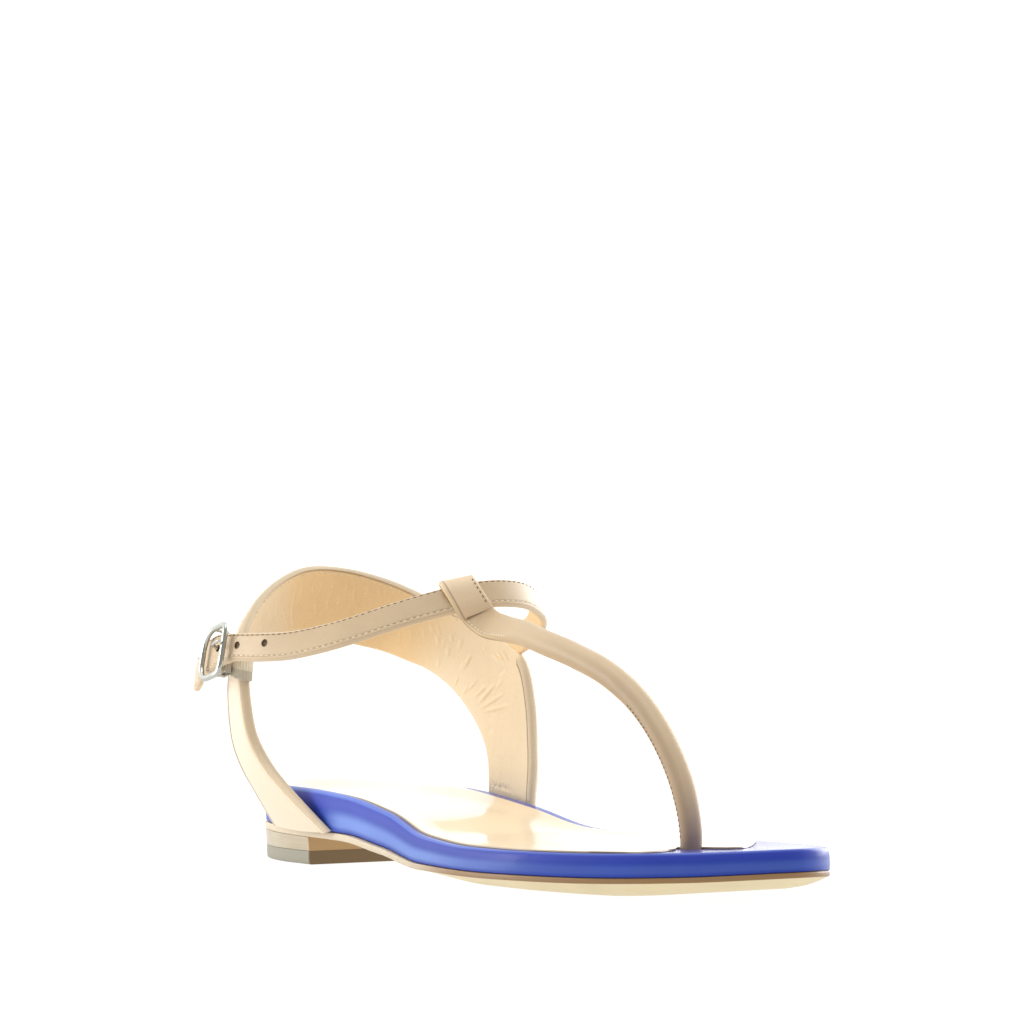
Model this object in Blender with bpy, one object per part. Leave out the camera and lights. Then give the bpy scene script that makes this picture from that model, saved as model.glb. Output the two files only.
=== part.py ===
"""Flat T-strap sandal for the right foot, EU size 37, standing empty on its sole.

Metres, +Z up. The floor is z = 0 and the origin lies under the middle of the sandal's box.
The toe points along -Y, the inner (big toe) side lies at +X and the buckle at -X.
Tables give places on the last: across (inner side positive), along from the heel, and up.
"""
from collections import namedtuple
from math import acos, cos, pi, radians, sin

import bmesh
import bpy
import numpy as np
from mathutils import Vector

UP = Vector((0, 0, 1))

# Driving dimensions
LENGTH = 0.247
HEEL_BREAST = 0.0515
TOP_LIFT = 0.0040
GAP = 0.0003
SOCK_THICK = 0.0010
SOCK_LIFT = 0.0005
STRAP_WIDTH = 0.0086
STRAP_WALL = 0.0022
BUCKLE_WIDTH = 0.0106
POST_RADIUS = 0.0030
EDGE_BEVEL = 0.0004

# Place of the box's middle on the last
MIDDLE_ACROSS = -0.0030
MIDDLE_ALONG = 0.1235

# Angle from which a mesh edge counts as hard
HARD_EDGE = radians(40)

# Rounding of the sole's two ends: how far in it starts, and how square it is
HEEL_ROUND = 0.042
HEEL_SQUARE = 2.0
TOE_ROUND = 0.075
TOE_SQUARE = 1.8

# Numbers of sections
SOLE_STATIONS = 34
HEEL_STATIONS = 14
STRIP_SIDES = 12
STRIP_SPANS = 3
SOCK_ROWS = 22

# Sole: width, heights of the seam and rim, depth of the dish, edge thickness, underside
Sole = namedtuple("Sole", "share centre half ledge seam rim dish edge floor")
SOLE = (
    Sole(0.00, 0.0000, 0.0262, 0.0015, 0.0114, 0.0230, 0.0040, 0.0021, 0.0093),
    Sole(0.20, -0.0005, 0.0270, 0.0015, 0.0103, 0.0223, 0.0040, 0.0021, 0.0082),
    Sole(0.30, -0.0017, 0.0277, 0.0015, 0.0100, 0.0216, 0.0034, 0.0020, 0.0080),
    Sole(0.40, -0.0032, 0.0289, 0.0012, 0.0077, 0.0186, 0.0025, 0.0018, 0.0056),
    Sole(0.50, -0.0030, 0.0323, 0.0006, 0.0046, 0.0131, 0.0015, 0.0016, 0.0022),
    Sole(0.62, -0.0009, 0.0383, 0.0002, 0.0044, 0.0110, 0.0010, 0.0015, 0.0000),
    Sole(0.72, 0.0007, 0.0408, 0.0002, 0.0048, 0.0112, 0.0008, 0.0015, 0.0000),
    Sole(0.80, 0.0018, 0.0412, 0.0002, 0.0051, 0.0115, 0.0006, 0.0015, 0.0000),
    Sole(0.92, 0.0027, 0.0408, 0.0002, 0.0063, 0.0126, 0.0004, 0.0015, 0.0021),
    Sole(1.00, 0.0037, 0.0404, 0.0002, 0.0079, 0.0139, 0.0002, 0.0015, 0.0050),
)

# Side of the footbed from its foot to its rim, as shares of the wall's height
Wall = namedtuple("Wall", "inset rise")
WALL = (
    Wall(0.28, 0.00),
    Wall(0.11, 0.18),
    Wall(0.02, 0.42),
    Wall(0.00, 0.60),
    Wall(0.04, 0.84),
    Wall(0.11, 0.96),
    Wall(0.22, 1.00),
)
BED_LOOPS = (0.0040, 0.0058, 0.0076, 0.0098, 0.0125)
BED_UNDER_INSET = 0.0080

# Underside of the outsole: inset from the edge, and share of the edge's lift that is left
Under = namedtuple("Under", "inset lift")
UNDER = (
    Under(0.0110, 0.00),
    Under(0.0065, 0.18),
    Under(0.0030, 0.55),
    Under(EDGE_BEVEL, 1.00),
)
OUTSOLE_TOP_INSET = 0.0060

# Heel: insets of the block's side from the sole's edge, and the top lift's side from the floor up
BLOCK_INSET = 0.0006
BLOCK_SWELL = 0.0002
Lift = namedtuple("Lift", "inset up")
LIFT = (
    Lift(0.0012, 0.0000),
    Lift(0.0008, 0.0005),
    Lift(0.0006, TOP_LIFT),
)

# Front edge of the sock, cut back to the toe post: share across from the outer side
SOCK_INSET = 0.0034
SOCK_BACK = SOLE[0].ledge + SOCK_INSET
SOCK_FIRST = 0.0006
SockFront = namedtuple("SockFront", "across along")
SOCK_FRONT = (
    SockFront(0.00, 0.200),
    SockFront(0.08, 0.207),
    SockFront(0.25, 0.205),
    SockFront(0.40, 0.200),
    SockFront(0.50, 0.194),
    SockFront(0.565, 0.1890),
    SockFront(0.63, 0.194),
    SockFront(0.67, 0.205),
    SockFront(0.73, 0.209),
    SockFront(0.81, 0.206),
    SockFront(0.90, 0.198),
    SockFront(1.00, 0.187),
)

# Squareness of a flat strip's section: 2 is round, and larger is squarer
STRIP_SQUARE = 4.0

# Heel band and side straps: upper (or front) edge, lower (or rear) edge, outward bow, wall
Sling = namedtuple("Sling", "ux uy uz lx ly lz bow wall")
SLING = (
    Sling(-0.0289, 0.0690, 0.0105, -0.0252, 0.0310, 0.0111, 0.0016, 0.0016),
    Sling(-0.0298, 0.0563, 0.0172, -0.0263, 0.0268, 0.0166, 0.0015, 0.0020),
    Sling(-0.0308, 0.0463, 0.0230, -0.0280, 0.0246, 0.0212, 0.0012, 0.0022),
    Sling(-0.0321, 0.0391, 0.0290, -0.0300, 0.0209, 0.0275, 0.0008, 0.0024),
    Sling(-0.0342, 0.0339, 0.0377, -0.0319, 0.0185, 0.0352, 0.0006, 0.0024),
    Sling(-0.0355, 0.0324, 0.0470, -0.0332, 0.0184, 0.0440, 0.0004, 0.0024),
    Sling(-0.0360, 0.0315, 0.0570, -0.0330, 0.0180, 0.0525, 0.0004, 0.0024),
    Sling(-0.0346, 0.0278, 0.0668, -0.0290, 0.0140, 0.0590, 0.0004, 0.0024),
    Sling(-0.0290, 0.0236, 0.0745, -0.0215, 0.0103, 0.0625, 0.0004, 0.0024),
    Sling(-0.0195, 0.0192, 0.0820, -0.0115, 0.0080, 0.0645, 0.0004, 0.0024),
    Sling(-0.0050, 0.0162, 0.0878, -0.0005, 0.0068, 0.0657, 0.0004, 0.0024),
    Sling(0.0095, 0.0168, 0.0874, 0.0125, 0.0085, 0.0648, 0.0004, 0.0024),
    Sling(0.0185, 0.0236, 0.0844, 0.0225, 0.0130, 0.0626, 0.0004, 0.0024),
    Sling(0.0258, 0.0346, 0.0792, 0.0290, 0.0205, 0.0592, 0.0004, 0.0024),
    Sling(0.0310, 0.0491, 0.0727, 0.0325, 0.0290, 0.0558, 0.0004, 0.0024),
    Sling(0.0340, 0.0635, 0.0672, 0.0340, 0.0385, 0.0505, 0.0004, 0.0024),
    Sling(0.0350, 0.0745, 0.0602, 0.0340, 0.0473, 0.0444, 0.0004, 0.0024),
    Sling(0.0340, 0.0808, 0.0481, 0.0330, 0.0555, 0.0375, 0.0004, 0.0024),
    Sling(0.0322, 0.0846, 0.0375, 0.0312, 0.0612, 0.0322, 0.0005, 0.0024),
    Sling(0.0297, 0.0883, 0.0277, 0.0290, 0.0655, 0.0262, 0.0006, 0.0024),
    Sling(0.0273, 0.0905, 0.0195, 0.0273, 0.0680, 0.0195, 0.0008, 0.0020),
    Sling(0.0262, 0.0920, 0.0094, 0.0266, 0.0700, 0.0105, 0.0008, 0.0016),
)

# Ankle strap from inside the band's inner side, round the front, to its tail behind the buckle
Strap = namedtuple("Strap", "x y z lean width wall")
ANKLE_STRAP = (
    Strap(0.0342, 0.0520, 0.0610, 4.0, 0.0060, 0.0012),
    Strap(0.0345, 0.0630, 0.0632, 4.0, 0.0084, 0.0020),
    Strap(0.0350, 0.0730, 0.0664, 8.0, STRAP_WIDTH, STRAP_WALL),
    Strap(0.0338, 0.0825, 0.0705, 14.0, STRAP_WIDTH, STRAP_WALL),
    Strap(0.0305, 0.0885, 0.0756, 20.0, STRAP_WIDTH, STRAP_WALL),
    Strap(0.0235, 0.0925, 0.0787, 24.0, STRAP_WIDTH, STRAP_WALL),
    Strap(0.0135, 0.0945, 0.0797, 26.0, STRAP_WIDTH, STRAP_WALL),
    Strap(0.0030, 0.0932, 0.0788, 26.0, STRAP_WIDTH, STRAP_WALL),
    Strap(-0.0070, 0.0887, 0.0762, 26.0, STRAP_WIDTH, STRAP_WALL),
    Strap(-0.0158, 0.0822, 0.0730, 25.0, STRAP_WIDTH, STRAP_WALL),
    Strap(-0.0235, 0.0740, 0.0694, 23.0, STRAP_WIDTH, STRAP_WALL),
    Strap(-0.0300, 0.0642, 0.0663, 20.0, STRAP_WIDTH, STRAP_WALL),
    Strap(-0.0350, 0.0545, 0.0644, 15.0, STRAP_WIDTH, STRAP_WALL),
    Strap(-0.0389, 0.0448, 0.0639, 12.0, STRAP_WIDTH, STRAP_WALL),
    Strap(-0.0414, 0.0348, 0.0637, 13.0, STRAP_WIDTH, STRAP_WALL),
    Strap(-0.0421, 0.0262, 0.0623, 13.0, BUCKLE_WIDTH, 0.0020),
    Strap(-0.0413, 0.0178, 0.0595, 12.0, BUCKLE_WIDTH, 0.0018),
    Strap(-0.0395, 0.0094, 0.0532, 10.0, 0.0076, 0.0016),
    Strap(-0.0391, 0.0078, 0.0517, 10.0, 0.0036, 0.0012),
)
BUCKLE_ROW = 15

# T-strap from the toe post up to the loop folded over the ankle strap; turn and roll set
# the direction of its width, and square runs from a round tube's to a flat strip's
Tee = namedtuple("Tee", "x y z turn roll width wall square")
T_STRAP = (
    Tee(0.0070, 0.1936, 0.0075, 0.0, 0.0, 0.0058, 0.0058, 2.0),
    Tee(0.0068, 0.1938, 0.0155, 0.0, 0.0, 0.0060, 0.0060, 2.0),
    Tee(0.0063, 0.1912, 0.0268, 0.0, 0.0, 0.0066, 0.0064, 2.0),
    Tee(0.0057, 0.1844, 0.0385, 0.0, 0.0, 0.0068, 0.0066, 2.0),
    Tee(0.0052, 0.1735, 0.0492, 0.0, 0.0, 0.0070, 0.0068, 2.0),
    Tee(0.0047, 0.1600, 0.0569, 0.0, 0.0, 0.0072, 0.0070, 2.0),
    Tee(0.0043, 0.1440, 0.0622, 0.0, 0.0, 0.0072, 0.0070, 2.0),
    Tee(0.0040, 0.1275, 0.0663, 0.05, 0.03, 0.0072, 0.0070, 2.0),
    Tee(0.0038, 0.1130, 0.0695, 0.12, 0.07, 0.0080, 0.0060, 2.3),
    Tee(0.0036, 0.1035, 0.0712, 0.20, 0.12, 0.0108, 0.0040, 3.0),
    Tee(0.0033, 0.0970, 0.0722, 0.26, 0.16, 0.0122, 0.0024, 3.6),
    Tee(0.0028, 0.0925, 0.0746, 0.28, 0.17, 0.0124, 0.0018, STRIP_SQUARE),
    Tee(0.0022, 0.0898, 0.0790, 0.28, 0.17, 0.0124, 0.0016, STRIP_SQUARE),
    Tee(0.0016, 0.0890, 0.0832, 0.28, 0.17, 0.0124, 0.0016, STRIP_SQUARE),
    Tee(0.0015, 0.0908, 0.0846, 0.28, 0.17, 0.0124, 0.0016, STRIP_SQUARE),
    Tee(0.0020, 0.0936, 0.0829, 0.28, 0.17, 0.0124, 0.0016, STRIP_SQUARE),
    Tee(0.0028, 0.0961, 0.0785, 0.28, 0.17, 0.0124, 0.0016, STRIP_SQUARE),
    Tee(0.0036, 0.0984, 0.0742, 0.28, 0.17, 0.0124, 0.0015, STRIP_SQUARE),
)
SOCKET_FLOOR = 0.0071
SOCKET_DEPTH = 0.0200

# Buckle: half sizes of the wire frame, its wire, its middle bar and its pin
FRAME_HALF_LONG = 0.0051
FRAME_HALF_TALL = 0.0075
FRAME_SQUARE = 6.0
FRAME_DROP = 0.0009
FRAME_POINTS = 28
WIRE_RADIUS = 0.0010
FRAME_OUT = STRAP_WALL / 2 + GAP + WIRE_RADIUS
BAR_RADIUS = 0.0007
BAR_DEPTH = 0.0034
BAR_CORNER = 0.0007
PIN_RADIUS = 0.0006
PIN_EYE = BAR_RADIUS + GAP + PIN_RADIUS
PIN_REST = FRAME_OUT + WIRE_RADIUS + GAP + PIN_RADIUS
PIN_UP = 0.0006
PIN_HOLE = 0.0011
HOLE_SIDES = 10

# Pin's eye, as turns round the middle bar
EYE_POINTS = 7
EYE_FIRST = radians(60)
EYE_STEP = radians(-40)

# Pin from the strap's hole to its tip: along from the middle bar, and out of the strap
Pin = namedtuple("Pin", "along out")
PIN = (
    Pin(-PIN_EYE, 0.0009),
    Pin(-0.0022, 0.0024),
    Pin(-0.0034, 0.0036),
    Pin(-FRAME_HALF_LONG, PIN_REST),
    Pin(-FRAME_HALF_LONG - 2 * PIN_RADIUS, PIN_REST),
)

# Elastic tab: hooked round the band's front edge, then back to a sleeve round the middle bar
Tab = namedtuple("Tab", "x y z")
ELASTIC_HOOK = (
    Tab(-0.0326, 0.0272, 0.0594),
    Tab(-0.0333, 0.0306, 0.0590),
    Tab(-0.0347, 0.0327, 0.0588),
    Tab(-0.0366, 0.0326, 0.0590),
    Tab(-0.0378, 0.0302, 0.0595),
)
ELASTIC_WIDTH = 0.0105
ELASTIC_WALL = 0.0009
SLEEVE_RADIUS = BAR_RADIUS + GAP + ELASTIC_WALL
SLEEVE_WIDTH = 0.0103
PIN_SLOT = 0.0022


def at(across, along, up):
    """World place of a point on the last."""
    return Vector((across - MIDDLE_ACROSS, MIDDLE_ALONG - along, up))


def curve_through(xs, ys):
    """Smooth function through a table's points that never overshoots them."""
    xs = np.asarray(xs, float)
    ys = np.asarray(ys, float)
    steps = np.diff(xs)
    slopes = np.diff(ys) / steps
    tangents = np.zeros(len(xs))
    tangents[0] = slopes[0]
    tangents[-1] = slopes[-1]
    for i in range(1, len(xs) - 1):
        if slopes[i - 1] * slopes[i] > 0:
            before = 2 * steps[i] + steps[i - 1]
            after = steps[i] + 2 * steps[i - 1]
            tangents[i] = (before + after) / (before / slopes[i - 1] + after / slopes[i])

    def value(x):
        i = int(np.clip(np.searchsorted(xs, x) - 1, 0, len(steps) - 1))
        t = min(max((x - xs[i]) / steps[i], 0.0), 1.0)
        rise = ys[i] * (1 + 2 * t) * (1 - t) ** 2 + ys[i + 1] * t * t * (3 - 2 * t)
        lean = tangents[i] * t * (1 - t) ** 2 - tangents[i + 1] * t * t * (1 - t)
        return float(rise + steps[i] * lean)

    return value


SOLE_CURVES = {
    name: curve_through([row.share for row in SOLE], [getattr(row, name) for row in SOLE])
    for name in Sole._fields[1:]
}


def sole(name, along):
    """A column of the sole's table at a distance from the heel."""
    return SOLE_CURVES[name](along / LENGTH)


def end_round(distance, reach, square):
    """Share of the full width at a distance from a rounded end."""
    inner = max(1.0 - distance / reach, 0.0)
    return (1.0 - inner ** square) ** (1.0 / square)


def sole_edge(turn):
    """Place (across, along) on the sole's outline: 0 heel, 0 to pi outer side, pi toe."""
    along = LENGTH * (1 - cos(turn)) / 2
    half = sole("half", along)
    half *= end_round(along, HEEL_ROUND, HEEL_SQUARE)
    half *= end_round(LENGTH - along, TOE_ROUND, TOE_SQUARE)
    side = -1 if turn < pi else 1
    return np.array((sole("centre", along) + side * half, along))


def inward(turn):
    """Unit direction from the outline towards the sole's middle."""
    step = 1e-3
    ahead = sole_edge((turn + step) % (2 * pi))
    behind = sole_edge((turn - step) % (2 * pi))
    run = ahead - behind
    run /= np.hypot(*run)
    return np.array((run[1], -run[0]))


def sole_turns():
    """Stations round the outline, closer at heel and toe."""
    return [pi * k / SOLE_STATIONS for k in range(2 * SOLE_STATIONS)]


def sole_loop(turns, inset, height):
    """World points of a loop inside the outline; inset and height are functions of along."""
    points = []
    for turn in turns:
        edge = sole_edge(turn)
        depth = inset(edge[1])
        across, along = edge + inward(turn) * depth
        points.append(at(across, along, height(along)))
    return points


def wall_height(along):
    """Height of the footbed's side."""
    return sole("rim", along) - sole("seam", along) - GAP


BED_EDGE = np.array(
    [sole_edge(turn) + inward(turn) * sole("ledge", sole_edge(turn)[1])
     for turn in np.linspace(0, 2 * pi, 400, endpoint=False)]
)


def dished(along, inset):
    """Height of the footbed's top at a distance in from its side."""
    knots = np.array((0.0, *BED_LOOPS)) / BED_LOOPS[-1]
    fall = np.interp(inset / BED_LOOPS[-1], knots, knots * knots * (3 - 2 * knots))
    return sole("rim", along) - sole("dish", along) * float(fall)


def bed_top(across, along):
    """Height of the footbed's top at a place on the last."""
    inset = np.hypot(BED_EDGE[:, 0] - across, BED_EDGE[:, 1] - along).min()
    return dished(along, inset)


def finish(name, colour, roughness, metallic=0.0):
    """Plain material of one sub-part."""
    material = bpy.data.materials.new(name)
    material.use_nodes = True
    shader = material.node_tree.nodes["Principled BSDF"]
    shader.inputs["Base Color"].default_value = (*colour, 1.0)
    shader.inputs["Roughness"].default_value = roughness
    shader.inputs["Metallic"].default_value = metallic
    material.diffuse_color = (*colour, 1.0)
    return material


def place(name, mesh, material, collection):
    """Object of a mesh in a collection, shaded smooth up to its hard edges."""
    mesh.shade_smooth()
    mesh.set_sharp_from_angle(angle=HARD_EDGE)
    piece = bpy.data.objects.new(name, mesh)
    if material:
        mesh.materials.append(material)
    collection.objects.link(piece)
    return piece


def as_mesh(name, bm):
    """Mesh of a closed form with its faces turned outwards."""
    bmesh.ops.remove_doubles(bm, verts=bm.verts, dist=1e-6)
    bmesh.ops.recalc_face_normals(bm, faces=bm.faces)
    mesh = bpy.data.meshes.new(name)
    bm.to_mesh(mesh)
    bm.free()
    return mesh


def bridge(bm, loops):
    """Bands of faces between neighbouring loops of equal length."""
    for below, above in zip(loops, loops[1:]):
        for i in range(len(below)):
            j = (i + 1) % len(below)
            bm.faces.new((below[i], below[j], above[j], above[i]))


def ladder(bm, outer, inner):
    """Rungs of faces across a loop, between its outer side and its inner side."""
    for i in range(len(outer) - 1):
        corners = [outer[i], outer[i + 1], inner[i + 1], inner[i]]
        bm.faces.new(list(dict.fromkeys(corners)))


def sole_layer(name, loops):
    """Closed layer through sole-shaped loops, with both middles laddered across."""
    bm = bmesh.new()
    rows = [[bm.verts.new(point) for point in loop] for loop in loops]
    bridge(bm, rows)
    for row in (rows[0], rows[-1]):
        around = row + row[:1]
        ladder(bm, around[:SOLE_STATIONS + 1], around[:SOLE_STATIONS - 1:-1])
    return as_mesh(name, bm)


def heel_layer(name, loops):
    """Closed layer through heel-shaped loops, with a flat breast across the front."""
    bm = bmesh.new()
    rows = [[bm.verts.new(point) for point in loop] for loop in loops]
    bridge(bm, rows)
    for row in (rows[0], rows[-1]):
        ladder(bm, row[:HEEL_STATIONS + 1], row[:HEEL_STATIONS - 1:-1])
    return as_mesh(name, bm)


def skin(name, rings):
    """Closed strip through its sections, with both ends capped."""
    bm = bmesh.new()
    rows = [[bm.verts.new(point) for point in ring] for ring in rings]
    bridge(bm, rows)
    bm.faces.new(rows[0])
    bm.faces.new(rows[-1])
    return as_mesh(name, bm)


def smooth_rows(table, spans):
    """Values of a table's columns along a smooth curve through its rows."""
    rows = np.array(table, float)
    chords = np.linalg.norm(np.diff(rows[:, :3], axis=0), axis=1)
    slopes = np.diff(rows, axis=0) / chords[:, None]
    tangents = np.vstack((slopes[:1], slopes, slopes[-1:]))
    weights = np.concatenate((chords[:1], chords, chords[-1:]))
    share = (weights[1:] / (weights[1:] + weights[:-1]))[:, None]
    tangents = tangents[:-1] * share + tangents[1:] * (1 - share)
    values = []
    for i, chord in enumerate(chords):
        for k in range(spans):
            t = k / spans
            ends = rows[i] * (1 + 2 * t) * (1 - t) ** 2 + rows[i + 1] * t * t * (3 - 2 * t)
            lean = tangents[i] * t * (1 - t) ** 2 - tangents[i + 1] * t * t * (1 - t)
            values.append(ends + chord * lean)
    values.append(rows[-1])
    return values


def headings(points):
    """Unit direction of a path at each of its points."""
    last = len(points) - 1
    return [
        (points[min(i + 1, last)] - points[max(i - 1, 0)]).normalized()
        for i in range(len(points))
    ]


def signed_power(value, power):
    """Power of a number's size, with its sign kept."""
    return abs(value) ** power * (1 if value >= 0 else -1)


def section(centre, wide, out, width, wall, square, bow=0.0):
    """Rounded section of a strip: width along wide, wall along out, bowed outwards."""
    ring = []
    for k in range(STRIP_SIDES):
        turn = 2 * pi * k / STRIP_SIDES
        x = signed_power(cos(turn), 2 / square)
        y = 0.5 * wall * signed_power(sin(turn), 2 / square) + bow * (1 - x * x)
        ring.append(centre + wide * (0.5 * width * x) + out * y)
    return ring


def sling_mesh():
    """Heel band running down into the two side straps."""
    rows = [Sling(*values) for values in smooth_rows(SLING, STRIP_SPANS)]
    uppers = [at(row.ux, row.uy, row.uz) for row in rows]
    lowers = [at(row.lx, row.ly, row.lz) for row in rows]
    middles = [(upper + lower) / 2 for upper, lower in zip(uppers, lowers)]
    rings = []
    for row, upper, lower, middle, run in zip(rows, uppers, lowers, middles, headings(middles)):
        span = upper - lower
        wide = span.normalized()
        out = wide.cross(run).normalized()
        rings.append(section(middle, wide, out, span.length, row.wall, STRIP_SQUARE, row.bow))
    return skin("sling", rings)


def strap_frames():
    """Centre, width direction, outward direction and heading along the ankle strap."""
    rows = [Strap(*values) for values in smooth_rows(ANKLE_STRAP, STRIP_SPANS)]
    centres = [at(row.x, row.y, row.z) for row in rows]
    frames = []
    for row, centre, run in zip(rows, centres, headings(centres)):
        level_out = UP.cross(run).normalized()
        lean = radians(row.lean)
        wide = UP * cos(lean) - level_out * sin(lean)
        wide = (wide - run * wide.dot(run)).normalized()
        frames.append((row, centre, wide, wide.cross(run), run))
    return frames


def ankle_strap_mesh():
    """Strap round the ankle, ending in a rounded tail."""
    rings = [
        section(centre, wide, out, row.width, row.wall, STRIP_SQUARE)
        for row, centre, wide, out, run in strap_frames()
    ]
    return skin("ankle_strap", rings)


def t_strap_mesh():
    """Rolled toe post and T-strap, flattened into the loop over the ankle strap."""
    rows = [Tee(*values) for values in smooth_rows(T_STRAP, STRIP_SPANS)]
    centres = [at(row.x, row.y, row.z) for row in rows]
    rings = []
    for row, centre, run in zip(rows, centres, headings(centres)):
        wide = Vector((1, -row.turn, row.roll))
        wide = (wide - run * wide.dot(run)).normalized()
        out = wide.cross(run)
        rings.append(section(centre, wide, out, row.width, row.wall, row.square))
    return skin("t_strap", rings)


def tube_mesh(name, points, radius, closed=False):
    """Mesh of a round wire along a path, from a curve with a bevel."""
    curve = bpy.data.curves.new(name, "CURVE")
    curve.dimensions = "3D"
    curve.bevel_depth = radius
    curve.bevel_resolution = 2
    curve.use_fill_caps = True
    spline = curve.splines.new("POLY")
    spline.points.add(len(points) - 1)
    for target, point in zip(spline.points, points):
        target.co = (*point, 1.0)
    spline.use_cyclic_u = closed
    holder = bpy.data.objects.new(name, curve)
    bpy.context.scene.collection.objects.link(holder)
    bpy.context.view_layer.update()
    drawn = holder.evaluated_get(bpy.context.evaluated_depsgraph_get())
    mesh = bpy.data.meshes.new_from_object(drawn)
    bpy.data.objects.remove(holder)
    bpy.data.curves.remove(curve)
    bm = bmesh.new()
    bm.from_mesh(mesh)
    bpy.data.meshes.remove(mesh)
    return as_mesh(name, bm)


def cylinder_mesh(name, middle, axis, radius, length, sides=16):
    """Round bar about a middle point along an axis."""
    bm = bmesh.new()
    turn = UP.rotation_difference(axis).to_matrix().to_4x4()
    turn.translation = middle
    bmesh.ops.create_cone(
        bm, cap_ends=True, segments=sides, radius1=radius, radius2=radius, depth=length, matrix=turn
    )
    return as_mesh(name, bm)


def combine(piece, operation, other):
    """Boolean of a piece with a hidden operand."""
    modifier = piece.modifiers.new(other.name, "BOOLEAN")
    modifier.operation = operation
    modifier.solver = "EXACT"
    modifier.object = other


def operand(name, mesh):
    """Hidden operand of a Boolean."""
    piece = place(name, mesh, None, CUTTERS)
    piece.hide_render = True
    piece.display_type = "WIRE"
    return piece


def make_outsole():
    """Thin sole with a square edge, an underside rounded up to it, arch and toe spring."""
    turns = sole_turns()

    def foot(along):
        return sole("seam", along) - sole("edge", along)

    loops = []
    for row in UNDER:
        def height(along, lift=row.lift):
            return sole("floor", along) + (foot(along) - sole("floor", along)) * lift
        loops.append(sole_loop(turns, lambda along, inset=row.inset: inset, height))

    def seam(along):
        return sole("seam", along)

    loops.append(sole_loop(turns, lambda along: 0.0, lambda along: foot(along) + EDGE_BEVEL))
    loops.append(sole_loop(turns, lambda along: 0.0, lambda along: seam(along) - EDGE_BEVEL))
    loops.append(sole_loop(turns, lambda along: EDGE_BEVEL, seam))
    loops.append(sole_loop(turns, lambda along: OUTSOLE_TOP_INSET, seam))
    material = finish("outsole_leather", (0.72, 0.56, 0.38), 0.55)
    return place("outsole", sole_layer("outsole", loops), material, PARTS)


def heel_loop(inset, height):
    """World points of a heel-shaped loop from the outer breast corner round the back."""
    reach = acos(1 - 2 * HEEL_BREAST / LENGTH)
    points = []
    for k in range(2 * HEEL_STATIONS + 1):
        turn = (reach * (1 - k / HEEL_STATIONS)) % (2 * pi)
        across, along = sole_edge(turn) + inward(turn) * inset
        points.append(at(across, min(along, HEEL_BREAST), height(along)))
    return points


def make_heel():
    """Heel block under the seat, and the top lift that it walks on."""
    block = [
        heel_loop(BLOCK_INSET, lambda along: TOP_LIFT + GAP),
        heel_loop(BLOCK_SWELL, lambda along: sole("floor", along) - GAP - EDGE_BEVEL),
        heel_loop(BLOCK_INSET, lambda along: sole("floor", along) - GAP),
    ]
    lift = [heel_loop(row.inset, lambda along, up=row.up: up) for row in LIFT]
    leather = finish("heel_leather", (0.70, 0.50, 0.34), 0.5)
    rubber = finish("top_lift_rubber", (0.34, 0.26, 0.20), 0.6)
    place("heel_block", heel_layer("heel_block", block), leather, PARTS)
    place("heel_top_lift", heel_layer("heel_top_lift", lift), rubber, PARTS)


def make_footbed():
    """Moulded bed: rounded side, raised rim, dished top and a socket for the toe post."""
    turns = sole_turns()

    def ledge(along):
        return sole("ledge", along)

    def foot(along):
        return sole("seam", along) + GAP

    loops = [sole_loop(turns, lambda along: ledge(along) + BED_UNDER_INSET, foot)]
    for row in WALL:
        def inset(along, share=row.inset):
            return ledge(along) + share * wall_height(along)

        def height(along, rise=row.rise):
            return foot(along) + rise * wall_height(along)
        loops.append(sole_loop(turns, inset, height))
    for depth in BED_LOOPS:
        def inset(along, depth=depth):
            return ledge(along) + depth

        def height(along, depth=depth):
            return dished(along, depth)
        loops.append(sole_loop(turns, inset, height))
    material = finish("blue_leather", (0.02, 0.05, 0.45), 0.35)
    footbed = place("footbed", sole_layer("footbed", loops), material, PARTS)
    post = T_STRAP[0]
    middle = at(post.x, post.y, SOCKET_FLOOR + SOCKET_DEPTH / 2)
    socket = cylinder_mesh("post_socket", middle, UP, POST_RADIUS + GAP, SOCKET_DEPTH)
    combine(footbed, "DIFFERENCE", operand("post_socket", socket))


def sock_side(along, side):
    """Across place of the sock's outer (-1) or inner (1) edge."""
    half = sole("half", along) * end_round(LENGTH - along, TOE_ROUND, TOE_SQUARE)
    half -= sole("ledge", along) + SOCK_INSET
    half *= end_round(along - SOCK_BACK, HEEL_ROUND - SOCK_BACK, HEEL_SQUARE)
    return sole("centre", along) + side * half


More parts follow.
